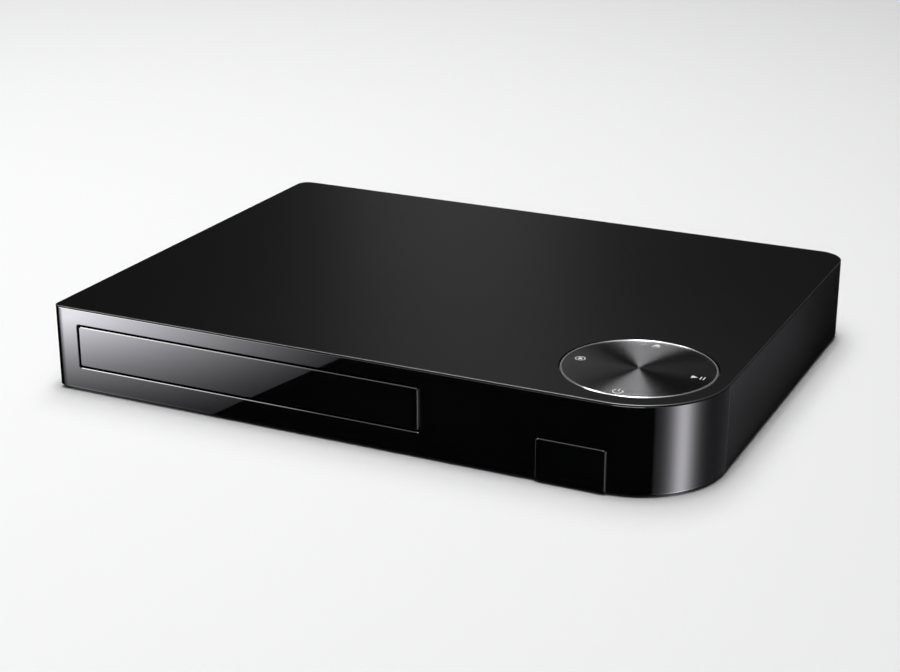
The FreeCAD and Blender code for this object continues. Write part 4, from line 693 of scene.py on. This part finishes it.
# Plugs' sockets on the boards, by their low and high corners
sockets = [
    ((40, -20, boardTop), (46, 4, boardTop + 4.5)), ((92.1, -38, boardTop), (104.1, -33, boardTop + 2.7)),
    ((19, 76, boardTop), (25, 92, boardTop + 5)), ((88, -79, 8.0), (100, -75, 10.4)),
]
socketBevel = 0.2


def makeSockets():
    shells = [(tuple(a - grown for a in low[:2]) + (low[2],), tuple(a + grown for a in high))
              for low, high in sockets]
    addBlocks("boardSockets", shells, socketBevel, "white_plastic")


# Sleeves of the main board's capacitors, and the scored cross on the power board's
cans = [(50, 20), (50, 30), (112, -22), (56, -24)]
canSleeve = [(0.4, 9.3), (2.2, 9.3), (2.5, 9.12), (3.06, 8.9), (3.1, 8.5), (3.1, 1.6), (2.95, 1.2),
             (3.1, 0.8), (3.1, 0.0), (2.6, 0.0)]
drums = [((-70, 84.5, 25.6), 7.5), ((-8, 84.5, 23.6), 5.0), ((6, 84.5, 23.6), 5.0)]
scoreLook = {"reach": 0.62, "narrow": 0.09, "height": 0.12, "bevel": 0.03}


def makeCapacitorTops():
    places = [(x, y, boardTop) for x, y in cans]
    placePiece("canSleeves", turnedMesh("canSleeves", canSleeve, places), finishes["component_black"], "case")
    reach, narrow = scoreLook["reach"], scoreLook["narrow"]
    lids = []
    for (x, y, z), radius in drums:
        for along, across in ((1, narrow), (narrow, 1)):
            dx, dy = radius * reach * along, radius * reach * across
            lids.append(((x - dx, y - dy, z), (x + dx, y + dy, z + scoreLook["height"])))
    addBlocks("drumScores", lids, scoreLook["bevel"], "plated_steel")


# Gilt contacts in rows: count, pitch, middle, width, then the span along and the span upright. The first two
# rows are in the data port and the last two in the video socket
contactRows = [
    (2, 2.0, 86.8, 1.0, -92.6, -84, 11.3, 11.42), (2, 7.0, 86.8, 1.0, -91.6, -84, 11.3, 11.42),
    (10, 1.0, 62, 0.45, 89, 96.6, 13.06, 13.14), (9, 1.0, 62, 0.45, 89, 96.6, 12.06, 12.14),
]
contactBevel = 0.02
# Sprung wires of the network socket: each has a long and a short leg from its bend
networkLook = {"count": 8, "pitch": 1.02, "middle": 92, "width": 0.36, "thick": 0.34, "bend": (88, 16.4),
               "ends": [(96.4, 20.7), (86.3, 16.8)]}
cubeFaces = ((0, 1, 3, 2), (4, 6, 7, 5), (0, 4, 5, 1), (2, 3, 7, 6), (1, 5, 7, 3), (0, 2, 6, 4))
jackSleeve = [(1.68, -5.0), (1.68, -0.35), (1.5, -0.2), (1.4, -0.5), (1.4, -5.0), (1.68, -5.0)]
jackPlace = (42, 106, 16.1)


def makeContacts():
    gold = [block for row in contactRows for block in rowOf(*row)]
    addBlocks("socketContacts", gold, contactBevel, "plated_steel", goldContact)
    look = networkLook
    wires = bmesh.new()
    for low, high in rowOf(look["count"], look["pitch"], look["middle"], look["width"], 0, 0, 0, 0):
        for end in look["ends"]:
            corners = [(x, y, z + lift) for x in (low[0], high[0]) for y, z in (look["bend"], end)
                       for lift in (0, look["thick"])]
            verts = [wires.verts.new(inCase(*corner)) for corner in corners]
            for face in cubeFaces:
                wires.faces.new([verts[i] for i in face])
    placePiece("networkContacts", keepMesh("networkContacts", wires), goldContact, "case")
    placePiece("jackSleeve", turnedMesh("jackSleeve", jackSleeve, [jackPlace], "Y"), finishes["plated_steel"],
               "case")


# Screws by kind, with the height of the head's outer face
screwKinds = {
    "caseScrewSet": {"standsFor": "case_screws", "level": 1.4, "headRadius": 2.6, "headHeight": 1.0,
                     "shankRadius": 1.1, "shankLength": 7.9, "flip": True,
                     "places": [(-123.5, -58), (-123.5, 58), (30, -52), (30, 60), (127, 64), (127, -28)]},
    "bridgeScrewSet": {"standsFor": "loader_screws", "level": 29.8, "headRadius": 2.2, "headHeight": 1.0,
                       "shankRadius": 0.7, "shankLength": 4.9, "flip": False,
                       "places": [(-46.6 + x, -28 + y) for x in (69.3, -69.3) for y in (-13, 13)]},
}


def makeScrews():
    steel = finishes["plated_steel"]
    for name, kind in screwKinds.items():
        screws = placePiece(name, screwMesh(name, kind), steel, "case")
        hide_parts(kind["standsFor"])
    thread = placePiece("leadScrewThread", leadScrewMesh(), steel, "lead_screw")
    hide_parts("lead_screw")


# Rubber ring on the turntable that the disc sits on
matLook = {
    "outline": [(13.0, 0.0), (15.3, 0.0), (15.3, 0.12), (15.1, 0.22), (13.2, 0.22), (13.0, 0.12),
                (13.0, 0.0)],
    "place": (-46.6, -28, 22.49), "steps": 64,
}


def makeMat():
    mesh = turnedMesh("turntableMat", matLook["outline"], [matLook["place"]], steps=matLook["steps"])
    placePiece("turntableMat", mesh, finishes["belt_rubber"], "turntable")


makeChips()
makeSockets()
makeCapacitorTops()
makeContacts()
makeScrews()
makeMat()
print("details placed")


# Camera at the photograph's viewing angle, with places in metres and the lens in millimetres
shot = {"azimuth": 25.561, "elevation": 20.523, "lens": 74.44, "sensor": 36,
        "place": (0.30479, -0.65518, 0.27924)}


# Studio, with places and sizes in metres

studio = {
    "floor": (0.88, 0.88, 0.885, 1), "floorRough": 0.9, "floorSpecular": 0.0, "floorReach": 6.0,
    "capGlow": 0.8, "skyGlow": 0.045, "capStart": 0.82, "capFull": 0.92,
    "topPlace": (-0.16, 0.0, 1.6), "topSize": (1.0, 2.1), "topPower": 24.8,
    "corePlace": (0.04, 0.0, 1.6), "coreSize": (0.22, 0.3), "corePower": 6.6,
    "topTarget": (-1.2, -0.3, 0), "caseTarget": (0, 0, 0.02),
    "bandPlace": (-0.62, 1.3, 0.55), "bandSize": (0.26, 0.7), "bandPower": 0.28,
    "wedgePlace": (-0.288, 0.831, 1.1), "wedgeSize": 0.28, "wedgePower": 5.2,
}


def makeFloor():
    mesh = bpy.data.meshes.new("studioFloor")
    reach = studio["floorReach"]
    mesh.from_pydata([(-reach, -reach, 0), (reach, -reach, 0), (reach, reach, 0), (-reach, reach, 0)], [],
                     [(0, 1, 2, 3)])
    material, _, shader = startMaterial("paleFloor")
    shader.inputs["Base Color"].default_value = studio["floor"]
    shader.inputs["Roughness"].default_value = studio["floorRough"]
    shader.inputs["Specular IOR Level"].default_value = studio["floorSpecular"]
    mesh.materials.append(material)
    floor = bpy.data.objects.new("studioFloor", mesh)
    bpy.context.collection.objects.link(floor)


# A bright patch of sky straight overhead and dim light from everywhere else
def makeWorld():
    world = bpy.data.worlds.new("studioWorld")
    bpy.context.scene.world = world
    world.use_nodes = True
    tree = world.node_tree
    coordinates = addNode(tree, "ShaderNodeTexCoord")
    split = addNode(tree, "ShaderNodeSeparateXYZ")
    tree.links.new(coordinates.outputs["Generated"], split.inputs["Vector"])
    glow = spread(tree, split.outputs["Z"], studio["skyGlow"], studio["capGlow"], studio["capStart"],
                  studio["capFull"])
    tree.links.new(glow, tree.nodes["Background"].inputs["Strength"])
    tree.nodes["Background"].inputs["Color"].default_value = (1, 1, 1, 1)


def aimedAt(place, target, side):
    return (Vector(target) - Vector(place)).to_track_quat("-Z", side).to_euler()


def addLamp(name, place, size, power, target=studio["caseTarget"], side="Y"):
    lamp = bpy.data.lights.new(name, "AREA")
    lamp.shape = "RECTANGLE"
    lamp.size, lamp.size_y = size if isinstance(size, tuple) else (size, size)
    lamp.energy = power
    holder = bpy.data.objects.new(name, lamp)
    holder.location = place
    holder.rotation_euler = aimedAt(place, target, side)
    bpy.context.collection.objects.link(holder)
    return holder


# Cards and a dark flag that show only in gloss. The bevel card and the rim card hang overhead and the others
# lie on the floor round the case, the flag lowest
cards = {
    "height": 0.6 * mm, "sideLayer": 1.2, "topLayer": 1.5,
    "tint": (1.0, 0.985, 1.055, 1), "white": (1, 1, 1, 1),
    "flag": [(-0.75, -0.75), (0.75, -0.75), (0.75, 0.4), (0.129, 0.4), (0.129, -0.06), (-0.128, -0.06),
             (-0.128, -0.05), (-0.75, -0.05)],
    "sideCard": [(0.16, -0.1), (0.75, -0.1), (0.75, 0.25), (0.16, 0.25)],
    "bevelHeight": 1.62, "bevelCard": [(-1.6, -1.1), (-0.4, -1.1), (-0.4, -0.5), (-1.6, -0.5)],
    "rimCard": [(-1.1, -0.25), (-0.56, -0.25), (-0.56, 0.7), (-1.1, 0.7)],
    "frontCard": [(-0.1276, -0.099), (-0.062, -0.099), (-0.023, -0.285), (-0.2738, -0.285)],
}


def axisFall(tree, axis, start, end, low, high):
    split = addNode(tree, "ShaderNodeSeparateXYZ")
    tree.links.new(objectPoint(tree), split.inputs["Vector"])
    return spread(tree, split.outputs[axis], low, high, start, end)


# Cards that fade along one axis from full to dark
cardFades = {
    "side": {"axis": "Y", "strength": 5.6, "least": 0.0, "full": -0.08, "dark": 0.09},
    "bevel": {"axis": "X", "strength": 13.0, "least": 1.1, "full": -1.32, "dark": -0.93},
    "rim": {"axis": "X", "strength": 5.0, "least": 1.0, "full": -0.72, "dark": -0.86},
}


def fadingGlow(name):
    look = cardFades[name]

    def setGlow(tree, glow):
        fall = axisFall(tree, look["axis"], look["full"], look["dark"], look["strength"], look["least"])
        tree.links.new(fall, glow.inputs["Strength"])

    return setGlow


def darkGlow(tree, glow):
    glow.inputs["Strength"].default_value = 0.0


# Brighter away from the case, dimmer towards its middle, and cut off softly along the slanting line that ends
# the grey sweep
frontFade = {
    "slope": 0.786, "edge": -0.05005, "edgeSoft": 0.0022, "strength": 8.6, "nearShare": 0.26,
    "nearY": -0.105, "farY": -0.168, "fullX": -0.178, "darkX": -0.018, "power": 2.0,
}


def frontGlow(tree, glow):
    look = frontFade
    away = axisFall(tree, "Y", look["farY"], look["nearY"], look["strength"],
                    look["nearShare"] * look["strength"])
    along = axisFall(tree, "X", look["fullX"], look["darkX"], 1.0, 0.0)
    steep = addNode(tree, "ShaderNodeMath", operation="POWER")
    steep.inputs[1].default_value = look["power"]
    tree.links.new(along, steep.inputs[0])
    across = addNode(tree, "ShaderNodeVectorMath", operation="DOT_PRODUCT")
    across.inputs[1].default_value = (1, -look["slope"], 0)
    tree.links.new(objectPoint(tree), across.inputs[0])
    cutOff = spread(tree, across.outputs["Value"], 0, 1, look["edge"], look["edge"] + look["edgeSoft"])
    whole = product(tree, away, steep.outputs["Value"])
    tree.links.new(product(tree, whole, cutOff), glow.inputs["Strength"])


# A soft beam in the round corner. The card is a fan of strips, each lying where the floor shows in the corner
# at one heading round it, so that the beam stands upright in the gloss. The corner is in millimetres in the
# case's own frame, and headings are in degrees, from 0 at the front to 90 at the right
fan = {"centre": (98.5, -64.5), "radius": 34.0, "eye": 18.0, "back": 2.0, "reach": 130, "first": -20,
       "last": 95, "step": 1.0}
# The beam's light is a bell round its middle over a faint rest, and starts sharply on its front side
beam = {"middle": 47.5, "width": 6.5, "strength": 4.3, "least": 0.06, "dark": 29.0, "full": 31.0}


def beamLevel(heading):
    started = (heading - beam["dark"]) / (beam["full"] - beam["dark"])
    bell = 1 / math.cosh((heading - beam["middle"]) / beam["width"]) ** 2
    return min(1.0, max(0.0, started)) * (beam["least"] + beam["strength"] * bell)


def makeFan(height):
    mesh = bpy.data.meshes.new("cornerCard")
    count = int((fan["last"] - fan["first"]) / fan["step"])
    headings = [fan["first"] + fan["step"] * i for i in range(count + 1)]
    spots, levels = [], []
    for heading in headings:
        turn = math.radians(heading)
        outward = Vector((math.sin(turn), -math.cos(turn), 0))
        foot = Vector(inCase(*fan["centre"], fan["eye"])) + outward * fan["radius"] * mm
        toEye = (Vector(shot["place"]) - foot).normalized()
        thrown = outward * 2 * outward.dot(toEye) - toEye
        away = Vector((thrown.x, thrown.y, 0)).normalized()
        for reach in (-fan["back"], fan["reach"]):
            spot = foot + away * reach * mm
            spots.append((spot.x, spot.y, height))
            levels.append(beamLevel(heading))
    strips = [(2 * i, 2 * i + 1, 2 * i + 3, 2 * i + 2) for i in range(len(headings) - 1)]
    mesh.from_pydata(spots, [], strips)
    layer = mesh.attributes.new("beam", "FLOAT", "POINT")
    for entry, level in zip(layer.data, levels):
        entry.value = level
    return mesh


def cornerGlow(tree, glow):
    level = addNode(tree, "ShaderNodeAttribute", attribute_name="beam")
    tree.links.new(level.outputs["Fac"], glow.inputs["Strength"])


def flatCard(outline, height):
    mesh = bpy.data.meshes.new("card")
    mesh.from_pydata([(x, y, height) for x, y in outline], [], [tuple(range(len(outline)))])
    return mesh


def makeCard(name, mesh, setGlow, tint=cards["tint"]):
    material = bpy.data.materials.new(name)
    material.use_nodes = True
    tree = material.node_tree
    tree.nodes.clear()
    output = addNode(tree, "ShaderNodeOutputMaterial")
    glow = addNode(tree, "ShaderNodeEmission")
    glow.inputs["Color"].default_value = tint
    tree.links.new(glow.outputs["Emission"], output.inputs["Surface"])
    setGlow(tree, glow)
    mesh.materials.append(material)
    card = bpy.data.objects.new(name, mesh)
    bpy.context.collection.objects.link(card)
    card.visible_camera = False
    card.visible_diffuse = False
    card.visible_transmission = False
    card.visible_shadow = False


makeFloor()
makeWorld()
addLamp("topSoftbox", studio["topPlace"], studio["topSize"], studio["topPower"], studio["topTarget"], "X")
addLamp("coreSoftbox", studio["corePlace"], studio["coreSize"], studio["corePower"], studio["topTarget"], "X")
band = addLamp("bandLamp", studio["bandPlace"], studio["bandSize"], studio["bandPower"])
wedge = addLamp("wedgeLamp", studio["wedgePlace"], studio["wedgeSize"], studio["wedgePower"])
for holder in (band, wedge):
    holder.visible_diffuse = False
makeCard("darkFlag", flatCard(cards["flag"], cards["height"]), darkGlow)
makeCard("frontCard", flatCard(cards["frontCard"], cards["height"] * cards["topLayer"]), frontGlow)
makeCard("sideCard", flatCard(cards["sideCard"], cards["height"] * cards["sideLayer"]), fadingGlow("side"))
makeCard("bevelCard", flatCard(cards["bevelCard"], cards["bevelHeight"]), fadingGlow("bevel"), cards["white"])
makeCard("rimCard", flatCard(cards["rimCard"], cards["bevelHeight"]), fadingGlow("rim"), cards["white"])
makeCard("cornerCard", makeFan(cards["height"] * cards["topLayer"]), cornerGlow)
print("studio lit")


def makeCamera():
    camera = bpy.data.cameras.new("shotCamera")
    camera.lens = shot["lens"]
    camera.sensor_width = shot["sensor"]
    holder = bpy.data.objects.new("shotCamera", camera)
    holder.location = shot["place"]
    holder.rotation_euler = (math.radians(90 - shot["elevation"]), 0, math.radians(shot["azimuth"]))
    bpy.context.collection.objects.link(holder)
    bpy.context.scene.camera = holder


makeCamera()
bpy.context.scene.view_settings.view_transform = "Standard"

print("dressed")
